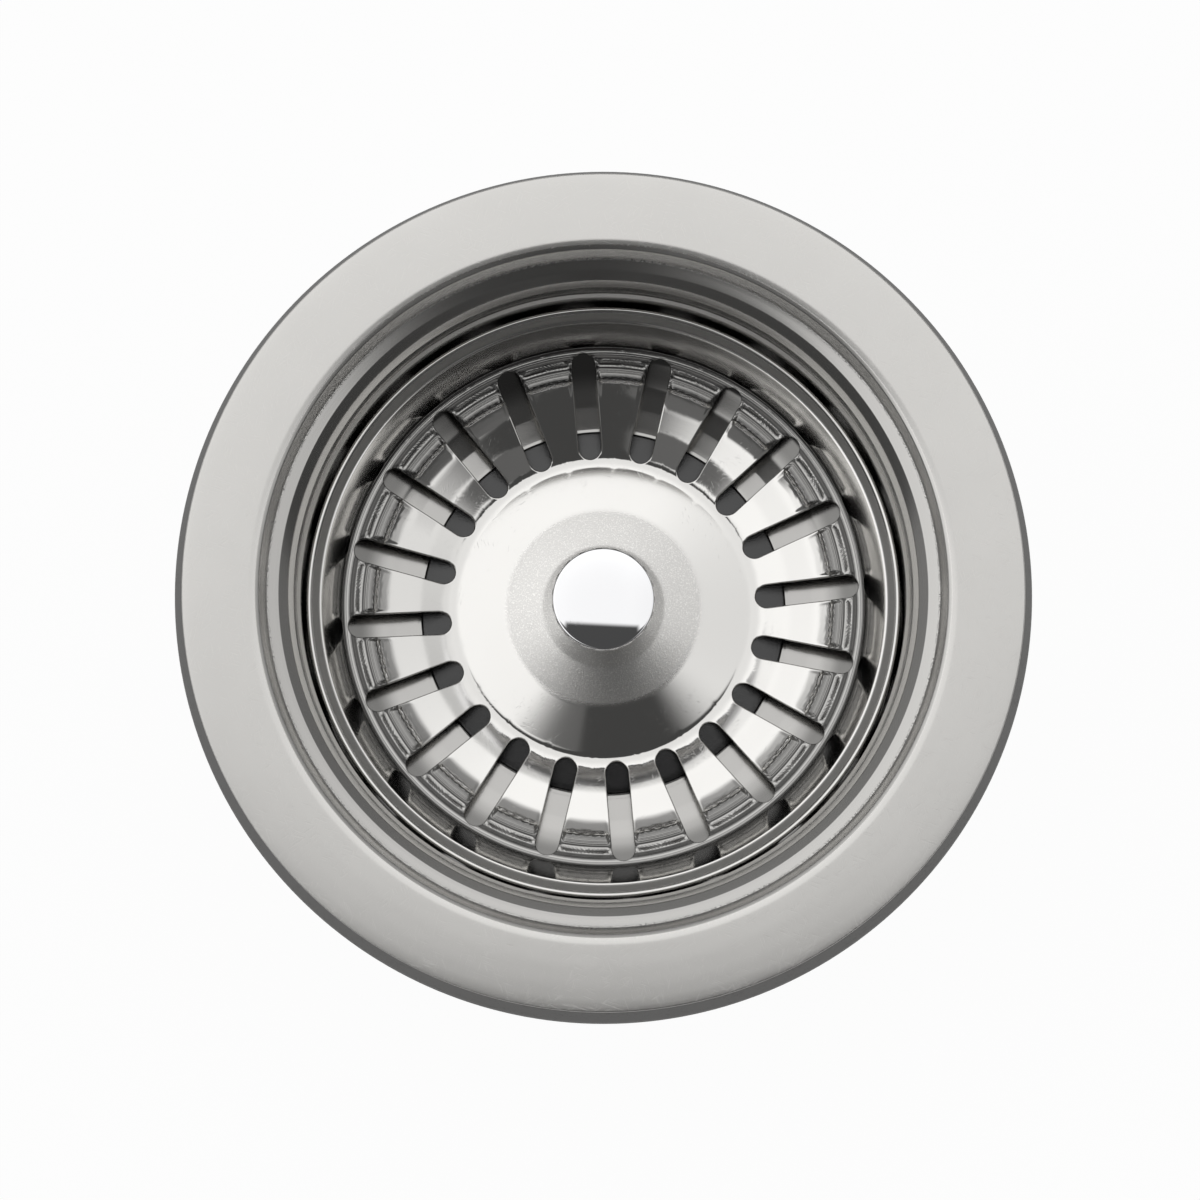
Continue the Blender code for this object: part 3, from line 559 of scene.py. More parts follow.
def make_flange_finish():
    """A mask grows from 0 to 1 across its range of radii or depths, in millimetres."""
    made, tree, shader = new_finish("satin_flange_steel", 1.0, 0.30)
    place = use_group(tree, PLACE)
    radius, depth = place["Radius"], place["Depth"]
    grain = use_group(tree, GRAIN, Scale=7000.0)
    rings = use_group(tree, LATHE, Spacing=0.10)["Height"]
    face = remap(tree, radius, *FACE_RADII)
    # Painted shade: the throat and the cup inside it are darkened in the colour.
    throat = remap(tree, radius, *THROAT_RADII, 1.0, 0.0)
    # The lip's mask serves twice: for a duller finish, and for painted shade that makes the lip's colour
    # dark.
    lip = times(tree, remap(tree, depth, *LIP_DEPTHS), remap(tree, radius, *LIP_RADII))
    floor = remap(tree, depth, *FLOOR_DEPTHS)
    # Painted shade in the corner of the cup's floor, where it runs up to the wall.
    corner = times(tree, floor, remap(tree, radius, *CORNER_RADII))
    specks = times(tree, band(tree, radius, *CREASE_BAND), remap(tree, grain["Height"], 0.5, 0.62))
    scratches = times(tree, face, use_group(tree, SCRATCHES, Scale=4500.0, Few=0.44)["Mask"])
    colour = BASE_COLOURS["flange_steel"]
    shaded = layered(tree, clouded(tree, grain, colour, 0.03), colour, (throat, THROAT_PAINTED_SHADE),
                     (corner, CORNER_PAINTED_SHADE), (specks, SPECK_SHADE),
                     (times(tree, scratches, 0.25), SCRATCH_SHADE), (lip, LIP_PAINTED_SHADE))
    roughness = total(tree, (face, 0.13), (lip, 0.28), (scratches, 0.08), (specks, 0.25), (rings, 0.05),
                      (floor, -0.08), start=0.17)
    relief = total(tree, (grain["Height"], 0.35), (scratches, -0.5), (specks, 1.5), (rings, 0.15))
    dress(tree, shader, shaded, roughness, relief, FINE_RELIEF)
    return made


FLANGE_FINISH = make_flange_finish()
stand_for(strainer, "strainer_body", FLANGE_FINISH)
print("The body is finished in", FLANGE_FINISH.name)

# %% [markdown]
# The basket is the piece that takes the most care. It is one thin sheet that is turned like the others,
# except that twenty round-ended slots are punched through it. A Boolean would leave long thin faces that
# spoil a polished surface, so the mesh is drawn round each slot instead. The ring that holds the slots is
# shared out in twenty sectors, and in each of them lines run from the slot's edge out to the sector's
# edge, like the strands of a web. The same lines fold over the slot's rounded edge, down through the sheet
# and back along the underside.

# %% The basket's outline
BASKET_SHEET = 0.7
SLOT_COUNT = 20
SLOT_START = math.radians(94.7)
SLOT_INNER, SLOT_OUTER, SLOT_HALF = 20.8, 34.68, 1.55
SLOTTED_FROM, SLOTTED_TO = 19.3, 35.25
BASKET_FACE = [
    (2.8, 20.0, 0.0), (5.0, 20.0, 1.0), (8.3, 21.7, 3.5), (13.5, 23.5, 6.0), (20.7, 26.1, 2.6),
    (25.2, 24.0, 3.0), (29.2, 22.6, 3.0), (31.3, 21.6, 2.0), (33.5, 20.75, 1.2), (35.0, 20.45, 0.5),
    (35.4, 20.2, 0.4), (38.0, 15.2, 0.12), (38.3, 15.1, 0.10),
]
RIM_SIZE, RIM_CENTRE, RIM_END = 0.40, (39.64, 14.42), 15.75
HEM_WIDTH = 0.65
FINE_SPACING = 0.35


def basket_path():
    """The sheet's upper face from the neck's hole to the top of the wall, with the rim's roll after it."""
    sheet = rounded(BASKET_FACE, closed=False, steps=8)
    roll = [row[:2] for row in arc_rows(*RIM_CENTRE, RIM_SIZE, 135, 0, 12)]
    return dense(np.vstack((sheet, roll)), FINE_SPACING, closed=False)


def path_normals(path):
    """Unit normals on the upper face's side, across the line between each point's two neighbours."""
    along = np.gradient(path, axis=0)
    along /= np.linalg.norm(along, axis=1, keepdims=True)
    return np.stack((along[:, 1], -along[:, 0]), axis=1)


SHEET_PATH = basket_path()
SHEET_NORMALS = path_normals(SHEET_PATH)
print("The basket's outline has", len(SHEET_PATH), "points")

# %% One sector round its slot
SECTOR_ARC = 12
SECTOR_SIDE = 36
SIDE_SHARES = np.linspace(0, 1, SECTOR_SIDE + 1)[1:-1] ** 1.4
SLOT_EDGE = 0.18
WEB_STEPS, EDGE_STEPS, BACK_STEPS, WEB_POWER = 16, 4, 4, 1.3
POCKET_NEAR, POCKET_FAR = 0.22, 0.70
POCKET = np.array([(28.6, 0.0), (30.7, -0.14), (31.25, -0.46), (31.4, -0.47), (33.1, 0.16), (33.25, 0.14),
                   (33.75, -0.10), (34.5, 0.0)])
FIRST_RING = int(np.argmax(SHEET_PATH[:, 0] > SLOTTED_FROM))
LAST_RING = int(np.argmax(SHEET_PATH[:, 0] > SLOTTED_TO))
RING_ANGLES = even_angles(SLOT_COUNT * SECTOR_ARC, SLOT_START - math.pi / SLOT_COUNT)


def round_trip(outer, inner):
    """Distances from the axis round a loop: the outer end, a side inward, the inner end, and out again."""
    end, back = np.ones(SECTOR_ARC + 1), 1 - SIDE_SHARES[::-1]
    way_in, way_out = outer + (inner - outer) * SIDE_SHARES, inner + (outer - inner) * back
    return np.concatenate((outer * end, way_in, inner * end, way_out))


def round_angles(outer_end, side, inner_end, other_side):
    """An angle for each point round a loop: one for each side, and the ends' own."""
    sides = np.ones(SIDE_SHARES.size)
    return np.concatenate((outer_end, side * sides, inner_end, other_side * sides))


def slot_loop():
    """Points round the slot and their outward normals.

    The slot is every point within SLOT_HALF of the line between its two end centres.
    """
    centres = round_trip(SLOT_OUTER - SLOT_HALF, SLOT_INNER + SLOT_HALF)
    end = np.linspace(-0.5, 0.5, SECTOR_ARC + 1) * math.pi
    angles = round_angles(end, math.pi / 2, end + math.pi, -math.pi / 2)
    normals = np.stack((np.cos(angles), np.sin(angles)), axis=1)
    return np.stack((centres, np.zeros(centres.size)), axis=1) + SLOT_HALF * normals, normals


def sector_loop():
    """As many points round the sector's edge."""
    radii = round_trip(SHEET_PATH[LAST_RING, 0], SHEET_PATH[FIRST_RING, 0])
    arc = np.linspace(-1, 1, SECTOR_ARC + 1) * math.pi / SLOT_COUNT
    angles = round_angles(arc, arc[-1], -arc, arc[0])
    return np.stack((radii * np.cos(angles), radii * np.sin(angles)), axis=1)


def web_lines():
    """Along a line of the web: share of the way out, reach from the slot, and depth in the sheet."""
    out = np.linspace(1, 0, WEB_STEPS + 1) ** WEB_POWER
    back = np.linspace(0, 1, BACK_STEPS + 1) ** WEB_POWER
    quarter = np.linspace(0, math.pi / 2, EDGE_STEPS + 1)[1:]
    near, deep = SLOT_EDGE * (1 - np.sin(quarter)), SLOT_EDGE * (1 - np.cos(quarter))
    share = np.concatenate((out, np.zeros(2 * quarter.size + 1), back))
    reach = np.concatenate((0 * out + SLOT_EDGE, near, [0.0], near[::-1], 0 * back + SLOT_EDGE))
    below = np.concatenate((0 * out, deep, [BASKET_SHEET / 2], BASKET_SHEET - deep[::-1],
                            0 * back + BASKET_SHEET))
    return share, reach, below


def pocket(x, y):
    """How far the ledge between two slots lies below the plain outline.

    Outward it is a steep step up, a flat band and a second step up. The steps run out before they reach a
    slot's edge, by a share that grows from 0 to 1 with the distance from it.
    """
    ends = np.clip(x, SLOT_INNER + SLOT_HALF, SLOT_OUTER - SLOT_HALF)
    distance = np.hypot(x - ends, y) - SLOT_HALF
    drop = np.interp(np.hypot(x, y), POCKET[:, 0], POCKET[:, 1])
    return drop * fade_in(distance, POCKET_NEAR, POCKET_FAR)


def in_sheet(x, y, below):
    """Radius and depth of a plan point on the upper face, carried below it along the face's normal."""
    radius = np.hypot(x, y)
    rings = SHEET_PATH[FIRST_RING:LAST_RING + 1]
    normals = SHEET_NORMALS[FIRST_RING:LAST_RING + 1]
    depth = np.interp(radius, rings[:, 0], rings[:, 1]) + pocket(x, y)
    inward = np.interp(radius, rings[:, 0], normals[:, 0])
    upward = np.interp(radius, rings[:, 0], normals[:, 1])
    return radius - below * inward, depth - below * upward


def sectors():
    """Points and faces of all the sectors, each one a web folded over its slot's edge."""
    slot, normals = slot_loop()
    edge = sector_loop()
    share, reach, below = (values[:, None] for values in web_lines())
    plan = (slot + normals * reach[..., None]) * (1 - share[..., None]) + edge * share[..., None]
    radius, depth = in_sheet(plan[..., 0], plan[..., 1], below)
    centres = SLOT_START + np.arange(SLOT_COUNT) * 2 * math.pi / SLOT_COUNT
    turn = np.arctan2(plan[..., 1], plan[..., 0]) + centres[:, None, None]
    points = round_axis(*np.broadcast_arrays(radius, depth, turn))
    one = grid_faces(len(share), len(slot), close_rows=False)
    starts = np.arange(SLOT_COUNT)[:, None, None] * radius.size
    return points.reshape(-1, 3), (one + starts).reshape(-1, 4)


print("Each slot has", len(slot_loop()[0]), "points round it")

# %% The dome, the wall and the rim
def inner_path():
    """From the web's inner arc along the dome to the neck's hole, and back along the underside."""
    picked = np.append(np.arange(FIRST_RING, 0, -2), 0)
    upper = SHEET_PATH[picked]
    lower = upper - BASKET_SHEET * SHEET_NORMALS[picked]
    return np.vstack((upper, lower[::-1]))


def outer_path():
    """From the web's outer arc up the wall and over the rolled rim, and down the wall's outside."""
    upper = SHEET_PATH[LAST_RING:]
    lower = upper - BASKET_SHEET * SHEET_NORMALS[LAST_RING:]
    lower = lower[:int(np.argmax(lower[:, 1] < RIM_END + 0.2))]
    hem = [(*upper[-1], 0.0), (upper[-1, 0], RIM_END, 0.2), (upper[-1, 0] - HEM_WIDTH, RIM_END, 0.1)]
    hem = dense(rounded(hem + [(*lower[-1], 0.0)], closed=False), FINE_SPACING, closed=False)
    return np.vstack((upper, hem[1:], lower[-2::-1]))


def make_basket():
    """The sectors, the dome inside them and the wall outside, joined where their points meet."""
    points, faces = sectors()
    for path in (inner_path(), outer_path()):
        grid = sweep(path, RING_ANGLES).reshape(-1, 3)
        more = grid_faces(len(path), len(RING_ANGLES), close_rows=False) + len(points)
        points, faces = np.vstack((points, grid)), np.vstack((faces, more))
    return mesh_object("slotted_basket", points, faces)


basket = make_basket()

# %% [markdown]
# The basket is polished bright, which lets the wall mirror the slots. Only the top of the dome keeps a
# satin grain, which fades out where the smooth cone starts. The finish reads the radius again, and the grain
# is a fine noise in the roughness and the relief, so that it sparkles a little instead of looking painted
# grey, and its high points carry painted glints in the colour. The colour also carries painted shade: much
# darker on the ledge round the slots' outer ends, in its groove and at the wall's foot, and darker on the
# rim's band.

# %% The basket's finish
SATIN_BAND, WALL_BAND, RIM_BAND = (4.6, 13.9, 1.1), (34.9, 38.3, 0.5), (38.2, 39.3, 0.15)
LEDGE_BAND, GROOVE_BAND, FOOT_BAND = (30.9, 35.2, 0.3), (33.6, 34.4, 0.3), (34.9, 35.8, 0.2)
LEDGE_PAINTED_SHADE, RIM_PAINTED_SHADE, PAINTED_GLINT_LEVEL = 0.12, 0.62, 1.25


def make_basket_finish():
    """Each band runs from one radius to another, in millimetres, and fades over its last number."""
    made, tree, shader = new_finish("bright_basket_steel", 1.0, 0.10)
    radius = use_group(tree, PLACE)["Radius"]
    bands = (SATIN_BAND, WALL_BAND, RIM_BAND, LEDGE_BAND, GROOVE_BAND, FOOT_BAND)
    satin, wall, rim, ledge, groove, foot = [band(tree, radius, *span) for span in bands]
    grain = use_group(tree, GRAIN, Scale=5200.0)
    scratches = use_group(tree, SCRATCHES, Scale=7000.0, Few=0.56)["Mask"]
    streaks = use_group(tree, LATHE, Spacing=0.28)["Height"]
    rings = use_group(tree, LATHE, Spacing=0.09)["Height"]
    # Painted glints: the satin grain's high points are brightened in the colour.
    painted_glint = times(tree, satin, remap(tree, grain["Height"], 0.52, 0.64))
    # Painted shade: the ledge round the slots' outer ends is darkened in streaks, and fully in its groove and
    # at the wall's foot.
    painted_ledge_shade = times(tree, ledge, remap(tree, streaks, 0.60, 0.40, 0.4, 1.0))
    painted_ledge_shade = math_node(tree, "MAXIMUM", painted_ledge_shade, groove)
    painted_ledge_shade = math_node(tree, "MAXIMUM", painted_ledge_shade, times(tree, foot, 0.80))
    colour = BASE_COLOURS["basket_steel"]
    # The rim's band takes painted shade in the colour, besides its rougher finish.
    shaded = layered(tree, clouded(tree, grain, colour, 0.02), colour, (painted_glint, PAINTED_GLINT_LEVEL),
                     (painted_ledge_shade, LEDGE_PAINTED_SHADE), (rim, RIM_PAINTED_SHADE))
    roughness = total(tree, (satin, 0.23), (scratches, 0.06), (rings, 0.03), (grain["Cloud"], 0.04),
                      (wall, 0.02), (rim, 0.28), (ledge, 0.10), start=0.045)
    relief = total(tree, (times(tree, satin, grain["Height"]), 4.0), (scratches, -0.3), (rings, 0.04),
                   (times(tree, ledge, streaks), 18.0))
    dress(tree, shader, shaded, roughness, relief, FINE_RELIEF)
    return made


BASKET_FINISH = make_basket_finish()
stand_for(basket, "basket_shell", BASKET_FINISH)
print("The basket has", SLOT_COUNT, "slots")

# %% [markdown]
# The knob is a low mushroom with a mirror polish. Its crown is part of a large sphere, so most of it shows
# the bright room above, and only a strip at the near edge shows the dark side. The edge turns over
# quickly. The collar under it flares down to the basket's neck.

# %% The knob and its collar
CROWN_SIZE, KNOB_EDGE = 30.0, 0.8
STUD_DEPTH = 1.9
COLLAR_NECK, COLLAR_FLARE = 3.4, 2.4
KNOB_OUTER, KNOB_TOP, KNOB_BOTTOM = measures("knob")[1:4]
STUD_HOLE = measures("knob_collar")[0]


def make_knob():
    """A crown cut from a sphere of CROWN_SIZE, an edge that turns over, and the stud's hole."""
    crown_end = math.degrees(math.asin((KNOB_OUTER - KNOB_EDGE) / CROWN_SIZE))
    rows = arc_rows(0.0, KNOB_TOP + CROWN_SIZE, CROWN_SIZE, 90, 90 - crown_end, 12)
    rows += [(KNOB_OUTER, rows[-1][1] + 0.15, KNOB_EDGE), (KNOB_OUTER, KNOB_BOTTOM, 0.9)]
    stud_top = KNOB_BOTTOM - STUD_DEPTH
    rows += [(STUD_HOLE, KNOB_BOTTOM, 0.1), (STUD_HOLE, stud_top, 0.1), (0.0, stud_top, 0.0)]
    return turned("lift_knob", rows, closed=False, spacing=0.3)


def make_collar():
    """A short neck that flares out to the basket."""
    _, outer, top, bottom = measures("knob_collar")
    rows = [(STUD_HOLE, top, 0.1), (COLLAR_NECK, top, 0.3), (COLLAR_NECK, top + COLLAR_FLARE, 4.0)]
    rows += [(outer, bottom - 0.5, 0.4), (outer, bottom, 0.15), (STUD_HOLE, bottom, 0.1)]
    return turned("knob_collar_turned", rows, spacing=0.3)


def make_chrome_finish():
    """Mirror chrome: a little haze from wiping, as scratches and a slow cloud in the roughness."""
    made, tree, shader = new_finish("mirror_chrome", 1.0, 0.04)
    scratches = use_group(tree, SCRATCHES, Scale=9000.0, Few=0.58)["Mask"]
    grain = use_group(tree, GRAIN, Scale=9000.0)
    shaded = clouded(tree, grain, BASE_COLOURS["knob_chrome"], 0.01)
    haze = total(tree, (scratches, 0.05), (grain["Cloud"], 0.03), start=0.015)
    dress(tree, shader, shaded, haze, scratches, 0.0000004)
    return made


CHROME = make_chrome_finish()
stand_for(make_knob(), "knob", CHROME)
stand_for(make_collar(), "knob_collar", CHROME)

# %% [markdown]
# The stopper shows through the slots as a dark disc. It is rubber, with a brim that seals on the cup's
# floor and a plug below. Rubber is never quite even: it has a fine moulded grain, a soft grey bloom and
# small specks.

# %% Rubber
def make_rubber(name, dark, bloom, dull):
    """The record's rubber, darkened by a factor, with a grey bloom in clouds. Dull makes it rougher."""
    made, tree, shader = new_finish(name, 0.0, 0.5)
    grain = use_group(tree, GRAIN, Scale=6000.0)
    colour = shade(BASE_COLOURS["rubber"], dark)
    pale = tuple(c + bloom for c in colour[:3]) + (1.0,)
    bloomed = mix_colour(tree, grain["Cloud"], colour, pale)
    roughness = total(tree, (grain["Height"], dull), (grain["Cloud"], 2 * dull))
    dress(tree, shader, bloomed, roughness, grain["Height"], 0.00002)
    return made


RUBBER = make_rubber("black_rubber", 0.2, 0.002, 0.12)
RUBBER.node_tree.nodes["Principled BSDF"].inputs["Specular IOR Level"].default_value = 0.9
BRIM_FALL, BRIM_FROM = 1.65, 14.0
PLUG_TOP, PLUG_FOOT = 18.9, 17.3


def make_stopper():
    """The brim's top falls outward, so that it grows thinner towards its edge and seals softly."""
    bore, outer, top, bottom = measures("stopper")
    brim_bottom = top + 3.0
    rows = [(bore, top, 0.1), (BRIM_FROM, top, 6.0), (outer, top + BRIM_FALL, 0.5), (outer, brim_bottom, 0.5)]
    rows += [(PLUG_TOP, brim_bottom, 0.4), (PLUG_FOOT, bottom, 0.6), (bore, bottom, 0.1)]
    return turned("rubber_stopper", rows)


stand_for(make_stopper(), "stopper", RUBBER)

# %% [markdown]
# Soft rings seal the drain against the sink. A seal fills the flange's lip, a rubber gasket with a short
# collar presses on the sink from below, a slippery fibre ring lies between it and the nut, and a nylon
# washer seals the outlet's end. They are turned too, with soft corners and the shallow grooves that help
# rubber to grip.

# %% Seals and washers
LIP_FOOT = 6.5


def grooves(start, step, count, depth, cut):
    """Rows of round-bottomed grooves in a flat face, from start on, each half a step wide and cut deep."""
    rows = []
    for index in range(count):
        near = start + index * step
        rows += [(near, depth, 0.15), (near + step / 4, depth + cut, 0.3), (near + step / 2, depth, 0.15)]
    return rows


def make_flange_seal():
    """A ring that fills the lip and falls outward as it does, with three grooves underneath."""
    inner, outer, top, bottom = measures("flange_seal")
    rows = [(inner, top, 0.5), (outer - 1.65, top, 0.9), (outer, LIP_FOOT, 0.8), (outer, bottom, 0.4)]
    rows += grooves(inner + 1.2, 1.8, 3, bottom, -0.35)[::-1] + [(inner, bottom, 0.6)]
    return turned("soft_flange_seal", rows)


def make_sink_gasket():
    """A flat ring with a low collar round its hole and three grooves on top."""
    inner, outer, top, bottom = measures("sink_gasket")
    collar, face = inner + 1.7, top + 0.8
    rows = [(inner, top, 0.15), (collar, top, 0.3), (collar, face, 0.2)]
    rows += grooves(inner + 3.4, 2.4, 3, face, 0.35)
    rows += [(outer, face, 0.6), (outer, bottom, 0.6), (inner, bottom, 0.25)]
    return turned("rubber_sink_gasket", rows)


def make_washer(name, node, rounding):
    """A plain ring of the node's own radii and depths, with its corners rounded."""
    inner, outer, top, bottom = measures(node)
    corners = ((inner, top), (outer, top), (outer, bottom), (inner, bottom))
    return turned(name, [(*corner, rounding) for corner in corners])


def make_tail_washer():
    """Flat on top, and below it a bead stands round the hole for the pipe's end to seat on."""
    inner, outer, top, bottom = measures("tail_washer")
    bead, face = inner + 1.15, bottom - 0.4
    rows = [(inner, top, 0.3), (outer, top, 0.4), (outer, face, 0.4), (bead, face, 0.15)]
    return turned("nylon_tail_washer", rows + [(bead, bottom, 0.15), (inner, bottom, 0.15)])


def make_nylon():
    """Milky nylon: nearly even, with a faint cloud from moulding and a fine dull grain."""
    made, tree, shader = new_finish("white_nylon", 0.0, 0.4)
    grain = use_group(tree, GRAIN, Scale=5000.0)
    colour = BASE_COLOURS["plastic"]
    warm = (colour[0], colour[1] * 0.985, colour[2] * 0.94, 1.0)
    milky = mix_colour(tree, grain["Cloud"], colour, warm)
    roughness = total(tree, (grain["Height"], 0.3), (grain["Cloud"], 0.5))
    dress(tree, shader, milky, roughness, grain["Height"], 0.00001)
    return made


def make_fibre():
    """Pressed fibre: short pale strands that lie every way over a browner ground, and a rough face."""
    made, tree, shader = new_finish("pressed_fibre", 0.0, 0.85)
    grain = use_group(tree, GRAIN, Scale=2600.0)
    strands = use_group(tree, SCRATCHES, Scale=3500.0, Few=0.30)["Mask"]
    colour = BASE_COLOURS["fibre"]
    ground = mix_colour(tree, grain["Cloud"], shade(colour, 0.8), shade(colour, 1.15))
    roughness = remap(tree, grain["Height"], 0.3, 0.7, 0.95, 0.75)
    relief = total(tree, (grain["Height"], 1.0), (strands, 0.7))
    dress(tree, shader, layered(tree, ground, colour, (strands, 1.6)), roughness, relief, 0.00004)
    return made


NYLON = make_nylon()
FIBRE = make_fibre()
GASKET_RUBBER = make_rubber("gasket_rubber", 1.0, 0.03, 0.3)
stand_for(make_flange_seal(), "flange_seal", GASKET_RUBBER)
stand_for(make_sink_gasket(), "sink_gasket", GASKET_RUBBER)
stand_for(make_washer("fibre_friction_ring", "friction_ring", 0.22), "friction_ring", FIBRE)
stand_for(make_tail_washer(), "tail_washer", NYLON)
print("Four rings seal the drain")

# %% [markdown]
# Two cast nuts hold it all. The lock nut is a ring with a brim and six lugs, and the coupling nut has
# eight flats. Both are turned outlines with a warp: the warp pushes the wall out where a lug stands, or
# out to the flats and their rounded corners, and it cuts the thread inside. The angles lie closer together
# where the shape turns.

# %% The lock nut
LUG_TURN = math.pi / 3
LUG_HALF, LUG_FADE = math.radians(4.1), math.radians(0.3)
LUG_OUTER, LUG_FOOT = 50.3, 27.35
LUG_FOOT_FADE = 0.36
NUT_THREAD, BORE_HALF = 0.32, 0.35


def spread_angles(count, offsets):
    """The same offsets, in degrees, round the middle of each of count equal sectors."""
    turns = np.arange(count)[:, None] * 2 * math.pi / count
    return (turns + np.radians(offsets)[None, :]).reshape(-1)


def inner_thread(radius, depth, turn, bore, pitch, top, bottom):
    """How far a nut's bore is cut back between its thread's crests, from top to bottom."""
    inside = (radius < bore + BORE_HALF) & (radius > bore - BORE_HALF)
    share = between(depth, top, bottom, pitch / 2) * (1 - thread_wave(depth, turn, pitch))
    return inside * share * NUT_THREAD


def make_lock_nut():
    """A ring with a brim on top, six lugs below it and a threaded bore."""
    bore, brim, top, bottom = measures("lock_nut")
    wall = bore + 4.6
    brim_bottom = top + 2.2
    foot = [(wall, depth, 0.0) for depth in np.linspace(LUG_FOOT - LUG_FOOT_FADE, LUG_FOOT, 7)]
    rows = [(bore, top, 0.5), (brim, top, 0.7), (brim, brim_bottom, 0.8), (wall, brim_bottom, 0.9)] + foot
    rows += [(wall, bottom, 0.5), (bore, bottom, 0.5)]

    def warp(radius, depth, turn):
        """Lugs stand out of the wall by LUG_OUTER - wall, within LUG_HALF of each sector's middle."""
        offset = np.abs(turn % LUG_TURN - LUG_TURN / 2)
        across = 1 - fade_in(offset, LUG_HALF - LUG_FADE, LUG_HALF + LUG_FADE)
        down = 1 - fade_in(depth, LUG_FOOT - LUG_FOOT_FADE, LUG_FOOT)
        down *= fade_in(depth, brim_bottom, brim_bottom + 0.5)
        outside = (radius > wall - 0.5) & (depth > brim_bottom)
        cut = inner_thread(radius, depth, turn, bore, CUP_THREAD_PITCH, top + 0.6, bottom - 0.6)
        return radius + outside * across * down * (LUG_OUTER - wall) + cut, depth

    # Degrees from a lug's middle: across the lug, over its side, along the gap, and over the next lug's side.
    across_lug, side, gap = np.linspace(-3.2, 3.2, 5), np.linspace(3.7, 4.5, 7), np.linspace(5.2, 54.8, 22)
    offsets = np.concatenate((across_lug, side, gap, 60 - side[::-1])) + 30
    return turned("cast_lock_nut", rows, angles=spread_angles(6, offsets), spacing=0.3, warp=warp)


lock_nut = make_lock_nut()

# %% The coupling nut
OUTLET_THREAD_PITCH = 2.209


def flats(turn, count, flat_radius, corner_radius, start=0.0, power=60.0):
    """The radius of a nut with count flats, whose corners are rounded off by a circle.

    A flat is flat_radius / cos(angle from its middle). The smaller of that and the circle's radius is taken
    smoothly: the sum of both to the power -power, to the power -1 / power.
    """
    sector = 2 * math.pi / count
    offset = (turn - start + sector / 2) % sector - sector / 2
    return ((flat_radius / np.cos(offset)) ** -power + corner_radius ** -power) ** (-1 / power)


def make_coupling_nut():
    """A nut with eight flats, a threaded bore and a shoulder under the washer."""
    hole, corner, top, bottom = measures("coupling_nut")
    bore, flat, shoulder = 23.2, 26.6, bottom - 2.4
    rows = [(bore, top, 0.5), (flat, top, 0.8), (flat, bottom, 0.9), (hole, bottom, 0.4)]
    rows += [(hole, shoulder, 0.3), (bore, shoulder, 0.3)]

    def warp(radius, depth, turn):
        """Outside the bore the radius grows, by its share of the wall, to the flats."""
        share = fade_in(radius, bore + 0.6, flat)
        cut = inner_thread(radius, depth, turn, bore, OUTLET_THREAD_PITCH, top + 0.8, shoulder - 0.4)
        return radius + share * (flats(turn, 8, flat, corner - 0.35) - flat) + cut, depth

    # Degrees from a flat's middle, closest together at its corners.
    corners = np.linspace(17.5, 22.5, 8)
    offsets = np.concatenate((-corners[:0:-1], np.linspace(-15, 15, 9), corners))
    return turned("cast_coupling_nut", rows, angles=spread_angles(8, offsets), spacing=0.3, warp=warp)


def make_zinc():
    """Die-cast zinc with a dull plating: cloudy grey, small pits, and a skin that is a little wavy."""
    made, tree, shader = new_finish("plated_cast_zinc", 1.0, 0.42)
    grain = use_group(tree, GRAIN, Scale=2400.0)
    pits = remap(tree, grain["Height"], 0.66, 0.74)
    colour = BASE_COLOURS["nut_zinc"]
    shaded = layered(tree, clouded(tree, grain, colour, 0.15), colour, (pits, 0.5))
    roughness = total(tree, (grain["Cloud"], 0.3), (grain["Height"], 0.15), (pits, 0.3), start=0.2)
    relief = total(tree, (grain["Height"], 1.0), (pits, -2.0), (grain["Cloud"], 3.0))
    dress(tree, shader, shaded, roughness, relief, 0.00002)
    return made


ZINC = make_zinc()
stand_for(lock_nut, "lock_nut", ZINC)
stand_for(make_coupling_nut(), "coupling_nut", ZINC)
print("The nuts are finished in", ZINC.name)

# %% [markdown]
# The outlet is turned from steel tube and keeps the tool's rings. Its brim is welded under the cup's
# floor, its bore steps in to carry the hub, and its lower end has the thread for the coupling nut.

# %% The outlet
THREAD_DROP = 0.62


def make_outlet():
    """A tube with a brim on top, a ledge inside that carries the hub, and a thick threaded end."""
    narrow, brim, top, bottom = measures("outlet_spud")
    bore, outside, crest, ledge = 19.7, 21.9, 22.9, 50.4
    thread_top = 49.5
    rows = [(bore, top, 0.25), (brim, top, 0.5), (brim, top + 1.5, 0.5), (outside, top + 1.5, 1.2)]
    rows += [(outside, thread_top, 0.5), (crest, thread_top + 1.0, 0.5), (crest, bottom, 0.7)]
    rows += [(narrow, bottom, 0.4), (narrow, ledge, 0.3), (bore, ledge, 0.3)]

    def warp(radius, depth, turn):
        """The thread is cut into the thick lower end, below the coupling nut's bore."""
        threaded = (radius > outside + 0.4) & (depth > thread_top)
        span = fade_in(depth, thread_top + 1.0, thread_top + 2.5)
        span *= 1 - fade_in(depth, bottom - 1.2, bottom - 0.4)
        wave = thread_wave(depth, turn, OUTLET_THREAD_PITCH)
        return radius - threaded * span * THREAD_DROP * (1 - wave), depth

    return turned("threaded_outlet", rows, spacing=0.3, warp=warp)


